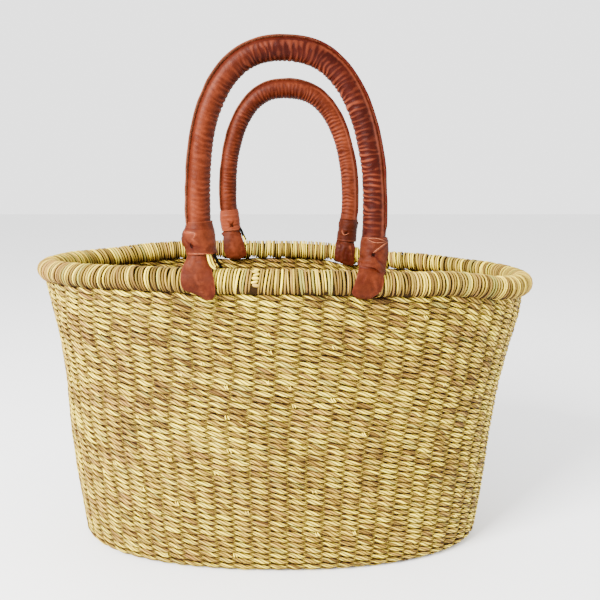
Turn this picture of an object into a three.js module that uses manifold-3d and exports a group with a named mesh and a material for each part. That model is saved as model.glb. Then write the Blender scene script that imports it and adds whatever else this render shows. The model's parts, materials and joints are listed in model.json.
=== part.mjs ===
// Straw basket bag: an oval basket of twined straw with a straw-wrapped rim roll
// and two leather-covered arch handles that are bound to the rim by leather feet.
// Millimetres, +Z up, front towards -Y, origin on the floor under the basket.
import * as THREE from 'three';
import { mergeVertices } from 'three/addons/utils/BufferGeometryUtils.js';
import Module from 'manifold-3d';

const wasm = await Module();
wasm.setup();

// Gap between pieces that touch on the real bag
const clearance = 0.3;

// Basket and rim
const basketHeight = 240; // floor to the middle of the rim roll
const rimHalfWidth = 202; // middle of the rim roll, along X
const rimHalfDepth = 118; // middle of the rim roll, along Y
const rimShift = -1; // the rim's middle stands a little left of the handles' middle
const rimPower = 2.3; // superellipse power of the rim's plan
const rimRollRadius = 8.7;
const wallThickness = 4;
const baseThickness = 4.5;

// Leather handles
const handleRadius = 8.4;
const handleRise = 163.7; // rim middle to the arch's centre line at its top
const legRise = 50; // rim middle to where the legs start to curve over
const archPower = 2.4; // superellipse power of the arch
const gatherPitch = 7.5; // one fold of the leather on the inner side of the arch
const gatherDepth = 1.1;
const lapHeight = 1.6; // sewn edge of the leather, standing along the outer side
// side: -1 is the front. footInset: how far each foot stands inside the arch's widest place.
const frontHandle = { side: -1, halfWidth: 62.8, footInset: 1.8, middle: 0.5 };
const backHandle = { side: 1, halfWidth: 61.3, footInset: 4.8, middle: -0.5 };

// Leather feet round the rim, and collars round the handle ends
const footWidth = 24.4;
const footThickness = 2.2;
const cuffThickness = 1.3; // flaps of the foot that go up inside the collar
const handleEndTaper = 0.75; // share of the handle's radius that is left between the flaps
const collarThickness = 1.5;
const collarFoot = 20; // rim middle to the collar's lower edge
const collarHeight = 18;
const collarLap = 4; // the collar's upper edge, drawn in above the cuff
const notchStart = 0.5; // share of the rim roll's radius from which the feet's notches are cut

// Ends of the black binding cord
const tieRadius = 1;
const tieLength = 8;
const tieReach = 0.8; // shares of the length: along the rim, outwards, and up in the middle
const tieTurnOut = 0.3;
const tieHump = 0.25;

// Fineness of the round forms
const planSteps = 72;
const rollSides = 12;
const collarSides = 14;
const footSteps = 14;
const archRows = 14;
const lengthSamples = 400;
const tieSides = 3;
const tieSteps = 5;

// Outer wall from the floor up. height: share of the wall's height. width and depth: shares of
// the wall's size under the rim. shift: share of the rim's half width. power: superellipse power.
const wallSections = [
  { height: 0.000, width: 0.836, depth: 0.735, shift: -0.026, power: 2.2 },
  { height: 0.010, width: 0.858, depth: 0.775, shift: -0.026, power: 2.2 },
  { height: 0.030, width: 0.868, depth: 0.792, shift: -0.026, power: 2.2 },
  { height: 0.090, width: 0.875, depth: 0.803, shift: -0.024, power: 2.25 },
  { height: 0.260, width: 0.897, depth: 0.830, shift: -0.025, power: 2.3 },
  { height: 0.430, width: 0.914, depth: 0.860, shift: -0.025, power: 2.3 },
  { height: 0.620, width: 0.930, depth: 0.896, shift: -0.014, power: 2.3 },
  { height: 0.780, width: 0.957, depth: 0.930, shift: -0.005, power: 2.3 },
  { height: 0.920, width: 0.990, depth: 0.974, shift: -0.001, power: 2.3 },
  { height: 1.000, width: 1.000, depth: 1.000, shift: -0.005, power: 2.3 },
];

// Sag of the rim round the plan, counter-clockwise from the right-hand end.
// turn: degrees. drop: share of the basket's height.
const rimSag = [
  { turn: 0, drop: 0.052 },
  { turn: 30, drop: 0.049 },
  { turn: 60, drop: 0.040 },
  { turn: 90, drop: -0.002 },
  { turn: 120, drop: -0.006 },
  { turn: 150, drop: 0.004 },
  { turn: 180, drop: 0.002 },
  { turn: 210, drop: -0.004 },
  { turn: 240, drop: -0.001 },
  { turn: 270, drop: 0.003 },
  { turn: 300, drop: 0.022 },
  { turn: 330, drop: 0.046 },
];

// Outline of a foot as seen from the front. height: share of the collar's height over the rim's
// middle. left and right: shares of half the foot's width.
const footOutline = [
  { height: -0.62, left: -0.25, right: 0.50 },
  { height: -0.52, left: 0.55, right: 0.80 },
  { height: -0.32, left: 0.90, right: 0.98 },
  { height: 0.00, left: 1.00, right: 1.00 },
  { height: 0.35, left: 0.98, right: 0.98 },
  { height: 0.70, left: 0.76, right: 0.76 },
  { height: 1.00, left: 0.60, right: 0.60 },
];

// Half of a handle's section, from its outer side to its inner side. turn: degrees.
// lap: share of the sewn edge's height. gather: share of the folds' depth.
const handleSection = [
  { turn: 0, lap: 1, gather: 0 },
  { turn: 14, lap: 0, gather: 0 },
  { turn: 55, lap: 0, gather: 0.1 },
  { turn: 100, lap: 0, gather: 0.5 },
  { turn: 145, lap: 0, gather: 0.9 },
  { turn: 180, lap: 0, gather: 1 },
];

const palette = {
  straw: { color: 0xc9b070, roughness: 0.75, metalness: 0 },
  wrappedStraw: { color: 0xd8c386, roughness: 0.7, metalness: 0 },
  leather: { color: 0xa8502f, roughness: 0.5, metalness: 0 },
  collarLeather: { color: 0xa0482b, roughness: 0.55, metalness: 0 },
  cord: { color: 0x15120f, roughness: 0.8, metalness: 0 },
};

const zAxis = new THREE.Vector3(0, 0, 1);
const fullTurn = 2 * Math.PI;

// A smooth value between the rows of the rim's sag table
function rimDrop(angle) {
  const step = fullTurn / rimSag.length;
  const place = (((angle % fullTurn) + fullTurn) % fullTurn) / step;
  const row = Math.floor(place) % rimSag.length;
  const next = (row + 1) % rimSag.length;
  const ease = 0.5 - 0.5 * Math.cos(Math.PI * (place - Math.floor(place)));
  const share = rimSag[row].drop + (rimSag[next].drop - rimSag[row].drop) * ease;
  return share * basketHeight;
}

// A point of a superellipse in plan
function planPoint(angle, halfWidth, halfDepth, power) {
  const c = Math.cos(angle);
  const s = Math.sin(angle);
  const x = Math.sign(c) * halfWidth * Math.pow(Math.abs(c), 2 / power);
  const y = Math.sign(s) * halfDepth * Math.pow(Math.abs(s), 2 / power);
  return new THREE.Vector3(x, y, 0);
}

// The rim roll's centre line
function rimPoint(angle) {
  const point = planPoint(angle, rimHalfWidth, rimHalfDepth, rimPower);
  point.x += rimShift;
  point.z = basketHeight - rimDrop(angle);
  return point;
}

// The angle at which the rim passes a given X, on the front (-1) or the back (1)
function rimAngleAt(x, side) {
  const share = THREE.MathUtils.clamp((x - rimShift) / rimHalfWidth, -1, 1);
  const c = Math.sign(share) * Math.pow(Math.abs(share), rimPower / 2);
  return side * Math.acos(c);
}

function rimTangent(angle) {
  const step = 0.01;
  return rimPoint(angle + step).sub(rimPoint(angle - step)).normalize();
}

// A closed body through rings of points, joined end to end or capped with fans
function skin(rings, closed = false) {
  const count = rings[0].length;
  const positions = [];
  rings.forEach((ring) => ring.forEach((p) => positions.push(p.x, p.y, p.z)));
  const index = [];
  const spans = closed ? rings.length : rings.length - 1;
  for (let i = 0; i < spans; i += 1) {
    const near = i * count;
    const far = ((i + 1) % rings.length) * count;
    for (let j = 0; j < count; j += 1) {
      const next = (j + 1) % count;
      index.push(near + j, near + next, far + next, near + j, far + next, far + j);
    }
  }
  if (!closed) {
    [[0, rings[0]], [(rings.length - 1) * count, rings[rings.length - 1]]].forEach(([start, ring], end) => {
      const middle = ring.reduce((sum, p) => sum.add(p), new THREE.Vector3()).divideScalar(count);
      const hub = positions.length / 3;
      positions.push(middle.x, middle.y, middle.z);
      for (let j = 0; j < count; j += 1) {
        const next = (j + 1) % count;
        if (end === 0) index.push(hub, start + next, start + j);
        else index.push(hub, start + j, start + next);
      }
    });
  }
  const geometry = new THREE.BufferGeometry();
  geometry.setAttribute('position', new THREE.Float32BufferAttribute(positions, 3));
  geometry.setIndex(signedVolume(positions, index) < 0 ? index.reverse() : index);
  return geometry;
}

function signedVolume(positions, index) {
  const corner = (k) => new THREE.Vector3().fromArray(positions, 3 * index[k]);
  let sum = 0;
  for (let i = 0; i < index.length; i += 3) sum += corner(i).dot(corner(i + 1).cross(corner(i + 2)));
  return sum / 6;
}

function toSolid(geometry) {
  const bare = geometry.clone();
  bare.deleteAttribute('normal');
  bare.deleteAttribute('uv');
  const merged = mergeVertices(bare, 1e-4);
  const vertProperties = new Float32Array(merged.attributes.position.array);
  const triVerts = new Uint32Array(merged.index.array);
  return new wasm.Manifold(new wasm.Mesh({ numProp: 3, vertProperties, triVerts }));
}

function toGeometry(solid) {
  const mesh = solid.getMesh();
  const geometry = new THREE.BufferGeometry();
  geometry.setAttribute('position', new THREE.Float32BufferAttribute(mesh.vertProperties, 3));
  geometry.setIndex(Array.from(mesh.triVerts));
  return geometry;
}

// The rim roll: a round tube along the rim, with an extra radius where it cuts a neighbour
function rimRollGeometry(extra = 0) {
  const rings = [];
  for (let i = 0; i < planSteps; i += 1) {
    const angle = (fullTurn * i) / planSteps;
    const centre = rimPoint(angle);
    const side = new THREE.Vector3().crossVectors(rimTangent(angle), zAxis).normalize();
    const ring = [];
    for (let j = 0; j < rollSides; j += 1) {
      const a = (fullTurn * j) / rollSides;
      const p = centre.clone().addScaledVector(side, (rimRollRadius + extra) * Math.cos(a));
      ring.push(p.addScaledVector(zAxis, (rimRollRadius + extra) * Math.sin(a)));
    }
    rings.push(ring);
  }
  return skin(rings, true);
}

// One ring of the basket's wall, the outer face (inset 0) or the inner face (inset = wall)
function wallRing(section, inset, floor) {
  const outerWidth = rimHalfWidth + wallThickness / 2;
  const outerDepth = rimHalfDepth + wallThickness / 2;
  const ring = [];
  for (let i = 0; i < planSteps; i += 1) {
    const angle = (fullTurn * i) / planSteps;
    const halfWidth = section.width * outerWidth - inset;
    const halfDepth = section.depth * outerDepth - inset;
    const p = planPoint(angle, halfWidth, halfDepth, section.power);
    p.x += rimShift + section.shift * rimHalfWidth;
    const top = basketHeight - rimRollRadius - clearance;
    const sag = rimDrop(angle) * section.height * section.height;
    p.z = Math.max(section.height * top - sag, floor);
    ring.push(p);
  }
  return ring;
}

// The woven basket: outer face up, inner face down, with notches for the feet under the rim
function basketGeometry(feet) {
  const outer = wallSections.map((section) => wallRing(section, 0, 0));
  const inside = wallSections.filter((section) => section.height * basketHeight > baseThickness);
  const inner = inside.map((section) => wallRing(section, wallThickness, baseThickness)).reverse();
  const floorRing = inner[inner.length - 1].map((p) => new THREE.Vector3(p.x, p.y, baseThickness));
  let solid = toSolid(skin([...outer, ...inner, floorRing]));
  feet.forEach((foot) => {
    solid = solid.subtract(toSolid(footBand(foot, clearance)));
  });
  return toGeometry(solid);
}

// Where one foot stands on the rim, and the line of the handle's leg above it
function footPlace(handle, end) {
  const x = handle.middle + end * (handle.halfWidth - handle.footInset);
  const angle = rimAngleAt(x, handle.side);
  const point = rimPoint(angle);
  const legTop = handle.middle + end * handle.halfWidth;
  const lean = new THREE.Vector3((legTop - x) / legRise, 0, 1).normalize();
  return { angle, point, lean, side: handle.side };
}

// The leather band round the rim, still straight-sided; extra widens it into a cutter
function footBand(foot, extra = 0) {
  const along = rimTangent(foot.angle);
  const out = new THREE.Vector3().crossVectors(along, zAxis).normalize();
  const inner = extra > 0 ? rimRollRadius * notchStart : rimRollRadius - footThickness;
  const outer = rimRollRadius + clearance + footThickness + extra;
  const rings = [];
  for (let i = 0; i < footSteps; i += 1) {
    const a = (fullTurn * i) / footSteps;
    const radial = out.clone().multiplyScalar(Math.cos(a)).addScaledVector(zAxis, Math.sin(a));
    const half = footWidth / 2 + extra;
    const corners = [[inner, -half], [outer, -half], [outer, half], [inner, half]];
    rings.push(corners.map(([r, s]) => {
      return foot.point.clone().addScaledVector(radial, r).addScaledVector(along, s);
    }));
  }
  return skin(rings, true);
}

// A ring turned round the leg's line, from a profile of radius and height above the rim's middle
function turned(profile, foot) {
  const points = profile.map(([radius, height]) => new THREE.Vector2(radius, height));
  const geometry = new THREE.LatheGeometry([...points, points[0]], collarSides);
  geometry.rotateX(Math.PI / 2);
  geometry.applyQuaternion(new THREE.Quaternion().setFromUnitVectors(zAxis, foot.lean));
  geometry.translate(foot.point.x, foot.point.y, foot.point.z);
  return geometry;
}

const boreRadius = handleRadius + clearance;
const cuffRadius = boreRadius + cuffThickness;
const cuffTop = collarFoot + collarHeight - collarLap - clearance;

// A prism through the foot, front to back, with the foot's outline
function footPrism(foot) {
  const half = footWidth / 2;
  const shape = new THREE.Shape();
  footOutline.forEach(({ height, right }, row) => {
    if (row === 0) shape.moveTo(half * right, collarFoot * height);
    else shape.lineTo(half * right, collarFoot * height);
  });
  const top = footOutline[footOutline.length - 1];
  shape.lineTo(half * top.right, collarFoot + collarHeight);
  shape.lineTo(-half * top.left, collarFoot + collarHeight);
  [...footOutline].reverse().forEach(({ height, left }) => shape.lineTo(-half * left, collarFoot * height));
  const depth = 2 * footWidth;
  const geometry = new THREE.ExtrudeGeometry(shape, { depth, bevelEnabled: false });
  geometry.translate(0, 0, -depth / 2);
  geometry.rotateX(Math.PI / 2);
  const along = rimTangent(foot.angle).multiplyScalar(-foot.side);
  geometry.rotateZ(Math.atan2(along.y, along.x));
  geometry.translate(foot.point.x, foot.point.y, foot.point.z);
  return geometry;
}

// A foot: the band round the rim and the flaps that go up along the handle's end
function footGeometry(foot, rimCutter) {
  const cuff = turned([
    [boreRadius, 0],
    [cuffRadius, 0],
    [cuffRadius, cuffTop],
    [boreRadius, cuffTop],
  ], foot);
  const sheath = toSolid(footBand(foot)).add(toSolid(cuff)).subtract(rimCutter);
  return toGeometry(sheath.intersect(toSolid(footPrism(foot))));
}

// A collar: a leather sleeve over the cuff, drawn in to the handle at its upper edge
function collarGeometry(foot) {
  const inner = cuffRadius + clearance;
  const top = collarFoot + collarHeight;
  return turned([
    [inner, collarFoot],
    [inner + collarThickness, collarFoot],
    [inner + collarThickness, top - collarLap],
    [boreRadius + collarThickness, top],
    [boreRadius, top],
    [inner, top - collarLap],
  ], foot);
}

// The handle's centre line: straight legs out of the feet, then a superellipse arch
function handleCurve(handle) {
  const left = footPlace(handle, -1);
  const right = footPlace(handle, 1);
  const points = [];
  const legPoints = (foot) => {
    const dip = handleRadius * Math.abs(foot.lean.dot(rimTangent(foot.angle)));
    const seat = rimRollRadius + footThickness + 2 * clearance + dip;
    const straight = collarFoot + collarHeight;
    const rows = [seat, (seat + straight) / 2, straight];
    return rows.map((h) => foot.point.clone().addScaledVector(foot.lean, h));
  };
  points.push(...legPoints(left));
  for (let i = 0; i <= archRows; i += 1) {
    const a = Math.PI * (1 - i / archRows);
    const p = planPoint(a, handle.halfWidth, handleRise - legRise, archPower);
    const share = (p.x / handle.halfWidth + 1) / 2;
    const base = left.point.clone().lerp(right.point, share);
    points.push(new THREE.Vector3(handle.middle + p.x, base.y, base.z + legRise + p.y));
  }
  points.push(...legPoints(right).reverse());
  const curve = new THREE.CatmullRomCurve3(points);
  curve.arcLengthDivisions = lengthSamples;
  return curve;
}

// A leather-covered handle: gathered on the inner side, lapped along the outer side
function handleGeometry(handle) {
  const curve = handleCurve(handle);
  const length = curve.getLength();
  const gathers = Math.round(length / gatherPitch);
  const steps = 2 * gathers;
  const chord = curve.getPoint(1).sub(curve.getPoint(0)).normalize();
  const across = new THREE.Vector3().crossVectors(zAxis, chord).normalize();
  const plainEnd = collarFoot + collarHeight;
  const otherHalf = handleSection.slice(1, -1).reverse().map((row) => ({ ...row, turn: 360 - row.turn }));
  const wholeSection = [...handleSection, ...otherHalf];
  const rings = [];
  for (let i = 0; i <= steps; i += 1) {
    const u = i / steps;
    const centre = curve.getPointAt(u);
    const outward = new THREE.Vector3().crossVectors(curve.getTangentAt(u), across).normalize();
    const fromEnd = Math.min(u, 1 - u) * length;
    const shown = THREE.MathUtils.smoothstep(fromEnd, plainEnd, plainEnd + gatherPitch);
    const fold = i % 2 === 0 ? 0 : gatherDepth * shown;
    const ring = [];
    const endShare = THREE.MathUtils.smoothstep(fromEnd, 0, collarFoot - rimRollRadius);
    const radius = handleRadius * (handleEndTaper + (1 - handleEndTaper) * endShare);
    wholeSection.forEach(({ turn, lap, gather }) => {
      const a = THREE.MathUtils.degToRad(turn);
      const r = radius - fold * gather + lapHeight * shown * lap;
      const p = centre.clone().addScaledVector(outward, r * Math.cos(a));
      ring.push(p.addScaledVector(across, r * Math.sin(a)));
    });
    rings.push(ring);
  }
  return skin(rings);
}

// An end of the black binding cord, beside a foot on top of the rim
function tieGeometry(foot, side) {
  const along = rimTangent(foot.angle).multiplyScalar(-side);
  const outward = new THREE.Vector3(0, side, 0);
  const start = foot.point.clone().addScaledVector(along, footWidth / 2 + tieRadius + clearance);
  start.z += rimRollRadius + tieRadius + clearance;
  const tip = start.clone().addScaledVector(along, tieLength * tieReach);
  tip.addScaledVector(outward, tieLength * tieTurnOut);
  const hump = start.clone().lerp(tip, 0.5);
  hump.z += tieLength * tieHump;
  const curve = new THREE.CatmullRomCurve3([start, hump, tip]);
  const section = new THREE.Shape();
  section.absarc(0, 0, tieRadius, 0, fullTurn);
  const options = { steps: tieSteps, curveSegments: tieSides, extrudePath: curve, bevelEnabled: false };
  return new THREE.ExtrudeGeometry(section, options);
}

function piece(name, geometry, finish) {
  const mesh = new THREE.Mesh(geometry, new THREE.MeshStandardMaterial(palette[finish]));
  mesh.name = name;
  return mesh;
}

const group = new THREE.Group();
const feet = [
  { name: 'front_left', ...footPlace(frontHandle, -1) },
  { name: 'front_right', ...footPlace(frontHandle, 1) },
  { name: 'back_left', ...footPlace(backHandle, -1) },
  { name: 'back_right', ...footPlace(backHandle, 1) },
];

group.add(piece('woven_body', basketGeometry(feet), 'straw'));
group.add(piece('rim_roll', rimRollGeometry(), 'wrappedStraw'));
group.add(piece('front_handle', handleGeometry(frontHandle), 'leather'));
group.add(piece('back_handle', handleGeometry(backHandle), 'leather'));

const rimCutter = toSolid(rimRollGeometry(clearance));
feet.forEach((foot) => {
  group.add(piece(`${foot.name}_foot`, footGeometry(foot, rimCutter), 'collarLeather'));
  group.add(piece(`${foot.name}_collar`, collarGeometry(foot), 'collarLeather'));
});

group.add(piece('front_left_tie', tieGeometry(feet[0], frontHandle.side), 'cord'));
group.add(piece('back_left_tie', tieGeometry(feet[2], backHandle.side), 'cord'));

export default group;
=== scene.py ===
import bmesh
import bpy
import json
import math
import numpy as np
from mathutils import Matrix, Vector

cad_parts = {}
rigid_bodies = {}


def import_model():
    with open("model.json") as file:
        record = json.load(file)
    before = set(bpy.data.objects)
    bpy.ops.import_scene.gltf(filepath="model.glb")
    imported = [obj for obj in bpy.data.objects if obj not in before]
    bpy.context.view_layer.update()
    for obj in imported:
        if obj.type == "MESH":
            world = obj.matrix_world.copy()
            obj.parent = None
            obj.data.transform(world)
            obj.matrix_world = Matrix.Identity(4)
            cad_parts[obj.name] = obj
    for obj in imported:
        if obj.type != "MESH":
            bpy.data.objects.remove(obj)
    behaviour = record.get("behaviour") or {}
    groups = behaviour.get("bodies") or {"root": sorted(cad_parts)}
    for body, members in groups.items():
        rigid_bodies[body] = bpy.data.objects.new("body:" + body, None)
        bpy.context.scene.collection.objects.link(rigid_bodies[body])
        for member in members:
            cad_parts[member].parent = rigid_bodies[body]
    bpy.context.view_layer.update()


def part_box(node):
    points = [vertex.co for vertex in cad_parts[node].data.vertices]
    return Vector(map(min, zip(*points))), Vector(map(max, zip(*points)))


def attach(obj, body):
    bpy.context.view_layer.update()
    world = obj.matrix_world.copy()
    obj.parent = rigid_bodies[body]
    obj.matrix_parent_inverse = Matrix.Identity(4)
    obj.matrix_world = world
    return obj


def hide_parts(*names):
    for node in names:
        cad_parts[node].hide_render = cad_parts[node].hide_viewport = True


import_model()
fullTurn = 2 * math.pi
mm = 0.001
loopPoints = 1440  # round a row of the wall
finePoints = 2880  # round the rim

basket = {
    "height": 240.0,  # floor to the middle of the rim roll, mm
    "rollRadius": 8.7,
    "rimPower": 2.3,
    "rimShift": -1.0,
    "wall": 4.0,
    "clearance": 0.3,
}
rimLow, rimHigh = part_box("rim_roll")
basket["halfWidth"] = (rimHigh.x - rimLow.x) / 2 / mm - basket["rollRadius"]
basket["halfDepth"] = (rimHigh.y - rimLow.y) / 2 / mm - basket["rollRadius"]

# height share, width share, depth share, shift share, superellipse power
wallSections = np.array([
    (0.000, 0.836, 0.735, -0.026, 2.20),
    (0.010, 0.858, 0.775, -0.026, 2.20),
    (0.030, 0.868, 0.792, -0.026, 2.20),
    (0.090, 0.875, 0.803, -0.024, 2.25),
    (0.260, 0.897, 0.830, -0.025, 2.30),
    (0.430, 0.914, 0.860, -0.025, 2.30),
    (0.620, 0.930, 0.896, -0.014, 2.30),
    (0.780, 0.957, 0.930, -0.005, 2.30),
    (0.920, 0.990, 0.974, -0.001, 2.30),
    (1.000, 1.000, 1.000, -0.005, 2.30),
])
rimSag = np.array([0.052, 0.049, 0.040, -0.002, -0.006, 0.004,
                   0.002, -0.004, -0.001, 0.003, 0.022, 0.046])  # every 30 degrees from the right end


def smoothStep(value, low=0.0, high=1.0):
    share = np.clip((value - low) / (high - low), 0, 1)
    return share * share * (3 - 2 * share)


def rimDrop(angle):
    place = (np.asarray(angle) / fullTurn % 1) * len(rimSag)
    row = np.floor(place).astype(int) % len(rimSag)
    ease = 0.5 - 0.5 * np.cos(np.pi * (place - np.floor(place)))
    return (rimSag[row] + (rimSag[(row + 1) % len(rimSag)] - rimSag[row]) * ease) * basket["height"]


def planPoints(angle, halfWidth, halfDepth, power):
    c, s = np.cos(angle), np.sin(angle)
    x = np.sign(c) * halfWidth * np.abs(c) ** (2 / power)
    y = np.sign(s) * halfDepth * np.abs(s) ** (2 / power)
    return x, y


def rimPoints(angle):
    x, y = planPoints(angle, basket["halfWidth"], basket["halfDepth"], basket["rimPower"])
    return np.stack([x + basket["rimShift"], y, basket["height"] - rimDrop(angle)], -1)


def unit(vectors):
    return vectors / np.maximum(np.linalg.norm(vectors, axis=-1, keepdims=True), 1e-9)


def evenLoop(points, count):  # a closed loop at even distances, from its first point
    closed = np.vstack([points, points[:1]])
    run = np.concatenate([[0], np.cumsum(np.linalg.norm(np.diff(closed, axis=0), axis=1))])
    at = np.linspace(0, run[-1], count, endpoint=False)
    return np.stack([np.interp(at, run, closed[:, axis]) for axis in range(3)], -1), run[-1]


def driftField(around, up, seed):  # smooth random values, -1 to 1, repeating round the first way
    grid = np.random.default_rng(seed).uniform(-1, 1, (up + 1, around))

    def value(a, b):
        x = (np.asarray(a) % 1) * around
        y = np.clip(b, 0, 1) * up + 0 * x
        i = np.floor(x).astype(int)
        j = np.minimum(np.floor(y).astype(int), up - 1)
        fx = smoothStep(x - i)
        fy = smoothStep(y - j)
        low = grid[j, i % around] * (1 - fx) + grid[j, (i + 1) % around] * fx
        high = grid[j + 1, i % around] * (1 - fx) + grid[j + 1, (i + 1) % around] * fx
        return low * (1 - fy) + high * fy
    return value


def meshFromParts(name, parts, material, slotName, *nodes):
    # each part has its points in mm, its quads, a uv for each quad's corner and a tone for each point
    offset = 0
    vertices, quads, uvs, tones = [], [], [], []
    for v, q, uv, tone in parts:
        vertices.append(v)
        quads.append(q + offset)
        uvs.append(uv)
        tones.append(tone)
        offset += len(v)
    vertices = np.concatenate(vertices) * mm
    quads = np.concatenate(quads)
    mesh = bpy.data.meshes.new(name)
    mesh.vertices.add(len(vertices))
    mesh.vertices.foreach_set("co", vertices.astype(np.float32).ravel())
    mesh.loops.add(quads.size)
    mesh.loops.foreach_set("vertex_index", quads.astype(np.int32).ravel())
    mesh.polygons.add(len(quads))
    mesh.polygons.foreach_set("loop_start", np.arange(0, quads.size, 4, dtype=np.int32))
    mesh.update(calc_edges=True)
    mesh.polygons.foreach_set("use_smooth", np.ones(len(quads), bool))
    uvLayer = mesh.uv_layers.new(name="strandMap")
    uvLayer.uv.foreach_set("vector", np.concatenate(uvs).astype(np.float32).ravel())
    colours = mesh.attributes.new("strandTone", "FLOAT_COLOR", "POINT")
    colours.data.foreach_set("color", np.concatenate(tones).astype(np.float32).ravel())
    mesh.validate()
    return pieceFromMesh(name, mesh, material, slotName, *nodes)


def pieceFromMesh(name, mesh, material, slotName, *nodes):
    mesh.materials.clear()
    mesh.materials.append(material)
    piece = bpy.data.objects.new(name, mesh)
    bpy.context.scene.collection.objects.link(piece)
    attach(piece, "root")
    if nodes:
        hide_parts(*nodes)
    return piece


def closedStrand(centres, wide, thick, halfWide, halfThick, sides, tone, length, middle=None, out=None):
    # centres, wide and thick have m rows of 3, halfWide and halfThick m values, tone m rows of 4;
    # middle and out are the wall's middle and its outward way
    count = len(centres)
    turn = np.arange(sides) * fullTurn / sides
    ring = centres[:, None] + (wide * halfWide[:, None])[:, None] * np.cos(turn)[None, :, None] \
        + (thick * halfThick[:, None])[:, None] * np.sin(turn)[None, :, None]
    i, j = np.meshgrid(np.arange(count), np.arange(sides), indexing="ij")
    nextI, nextJ = (i + 1) % count, (j + 1) % sides
    quads = np.stack([i * sides + j, nextI * sides + j, nextI * sides + nextJ, i * sides + nextJ], -1)
    u0, u1 = i / count * length, (i + 1) / count * length
    v0, v1 = j / sides, (j + 1) / sides
    uv = np.stack([np.stack([u0, v0], -1), np.stack([u1, v0], -1),
                   np.stack([u1, v1], -1), np.stack([u0, v1], -1)], -2)
    tones = np.repeat(tone[:, None], sides, 1)
    # the alpha becomes a mask of painted shade: low, so darker, where the strand sinks into the wall or turns its side
    # to the next strand
    if middle is not None:  # how far each point stands clear of the wall's middle, on its own side
        facing = np.sum((ring - centres[:, None]) * out[:, None], -1)
        clear = np.sum((ring - middle[:, None]) * out[:, None], -1)
        tones[..., 3] = smoothStep(clear * facing / (np.abs(facing) + 0.25), 0.2, 1.3)
    return ring.reshape(-1, 3), quads.reshape(-1, 4), uv.reshape(-1, 4, 2), tones.reshape(-1, 4)


def openStrand(centres, radii, sides, tone, squash=1.0):  # a short free strand with closed ends
    centres = np.asarray(centres, float)
    radii = np.asarray(radii, float)
    ahead = unit(np.gradient(centres, axis=0))
    side = unit(np.cross(ahead, (0.31, 0.22, 0.92)))
    lift = np.cross(side, ahead)
    centres = np.vstack([centres[:1], centres, centres[-1:]])
    radii = np.concatenate([[radii[0] * 0.05], radii, [radii[-1] * 0.05]])
    side = np.vstack([side[:1], side, side[-1:]])
    lift = np.vstack([lift[:1], lift, lift[-1:]])
    turn = np.arange(sides) * fullTurn / sides
    ring = centres[:, None] + (side * radii[:, None])[:, None] * np.cos(turn)[None, :, None] \
        + (lift * radii[:, None] * squash)[:, None] * np.sin(turn)[None, :, None]
    count = len(centres)
    i, j = np.meshgrid(np.arange(count - 1), np.arange(sides), indexing="ij")
    nextJ = (j + 1) % sides
    quads = np.stack([i * sides + j, i * sides + nextJ, (i + 1) * sides + nextJ, (i + 1) * sides + j], -1)
    uv = np.stack([np.stack([i * 1.0, j / sides], -1), np.stack([i * 1.0, (j + 1) / sides], -1),
                   np.stack([i + 1.0, (j + 1) / sides], -1), np.stack([i + 1.0, j / sides], -1)], -2)
    tones = np.tile(np.asarray(tone, float), (ring.shape[0] * sides, 1))
    return ring.reshape(-1, 3), quads.reshape(-1, 4), uv.reshape(-1, 4, 2), tones


def add(tree, kind, inputs=None, **settings):
    item = tree.nodes.new("ShaderNode" + kind)
    for key, value in settings.items():
        setattr(item, key, value)
    for key, value in (inputs or {}).items():
        if isinstance(value, bpy.types.NodeSocket):
            tree.links.new(value, item.inputs[key])
        else:
            item.inputs[key].default_value = value
    return item


def calc(tree, operation, *values):
    item = add(tree, "Math", dict(enumerate(values)), operation=operation)
    return item.outputs[0]


def plus(tree, first, second):
    return calc(tree, "ADD", first, second)


def times(tree, first, second):
    return calc(tree, "MULTIPLY", first, second)


def blendColours(tree, factor, first, second, blend="MIX"):
    item = add(tree, "Mix", {0: factor, 6: first, 7: second}, data_type="RGBA", blend_type=blend)
    return item.outputs[2]


def rampOf(tree, factor, *stops):
    item = add(tree, "ValToRGB", {0: factor})
    ramp = item.color_ramp
    while len(ramp.elements) < len(stops):
        ramp.elements.new(0.5)
    for element, (place, colour) in zip(ramp.elements, stops):
        element.position = place
        element.color = (*colour, 1)
    return item.outputs[0]


def newMaterial(name):
    material = bpy.data.materials.new(name)
    material.use_nodes = True
    return material, material.node_tree, material.node_tree.nodes["Principled BSDF"]


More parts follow.
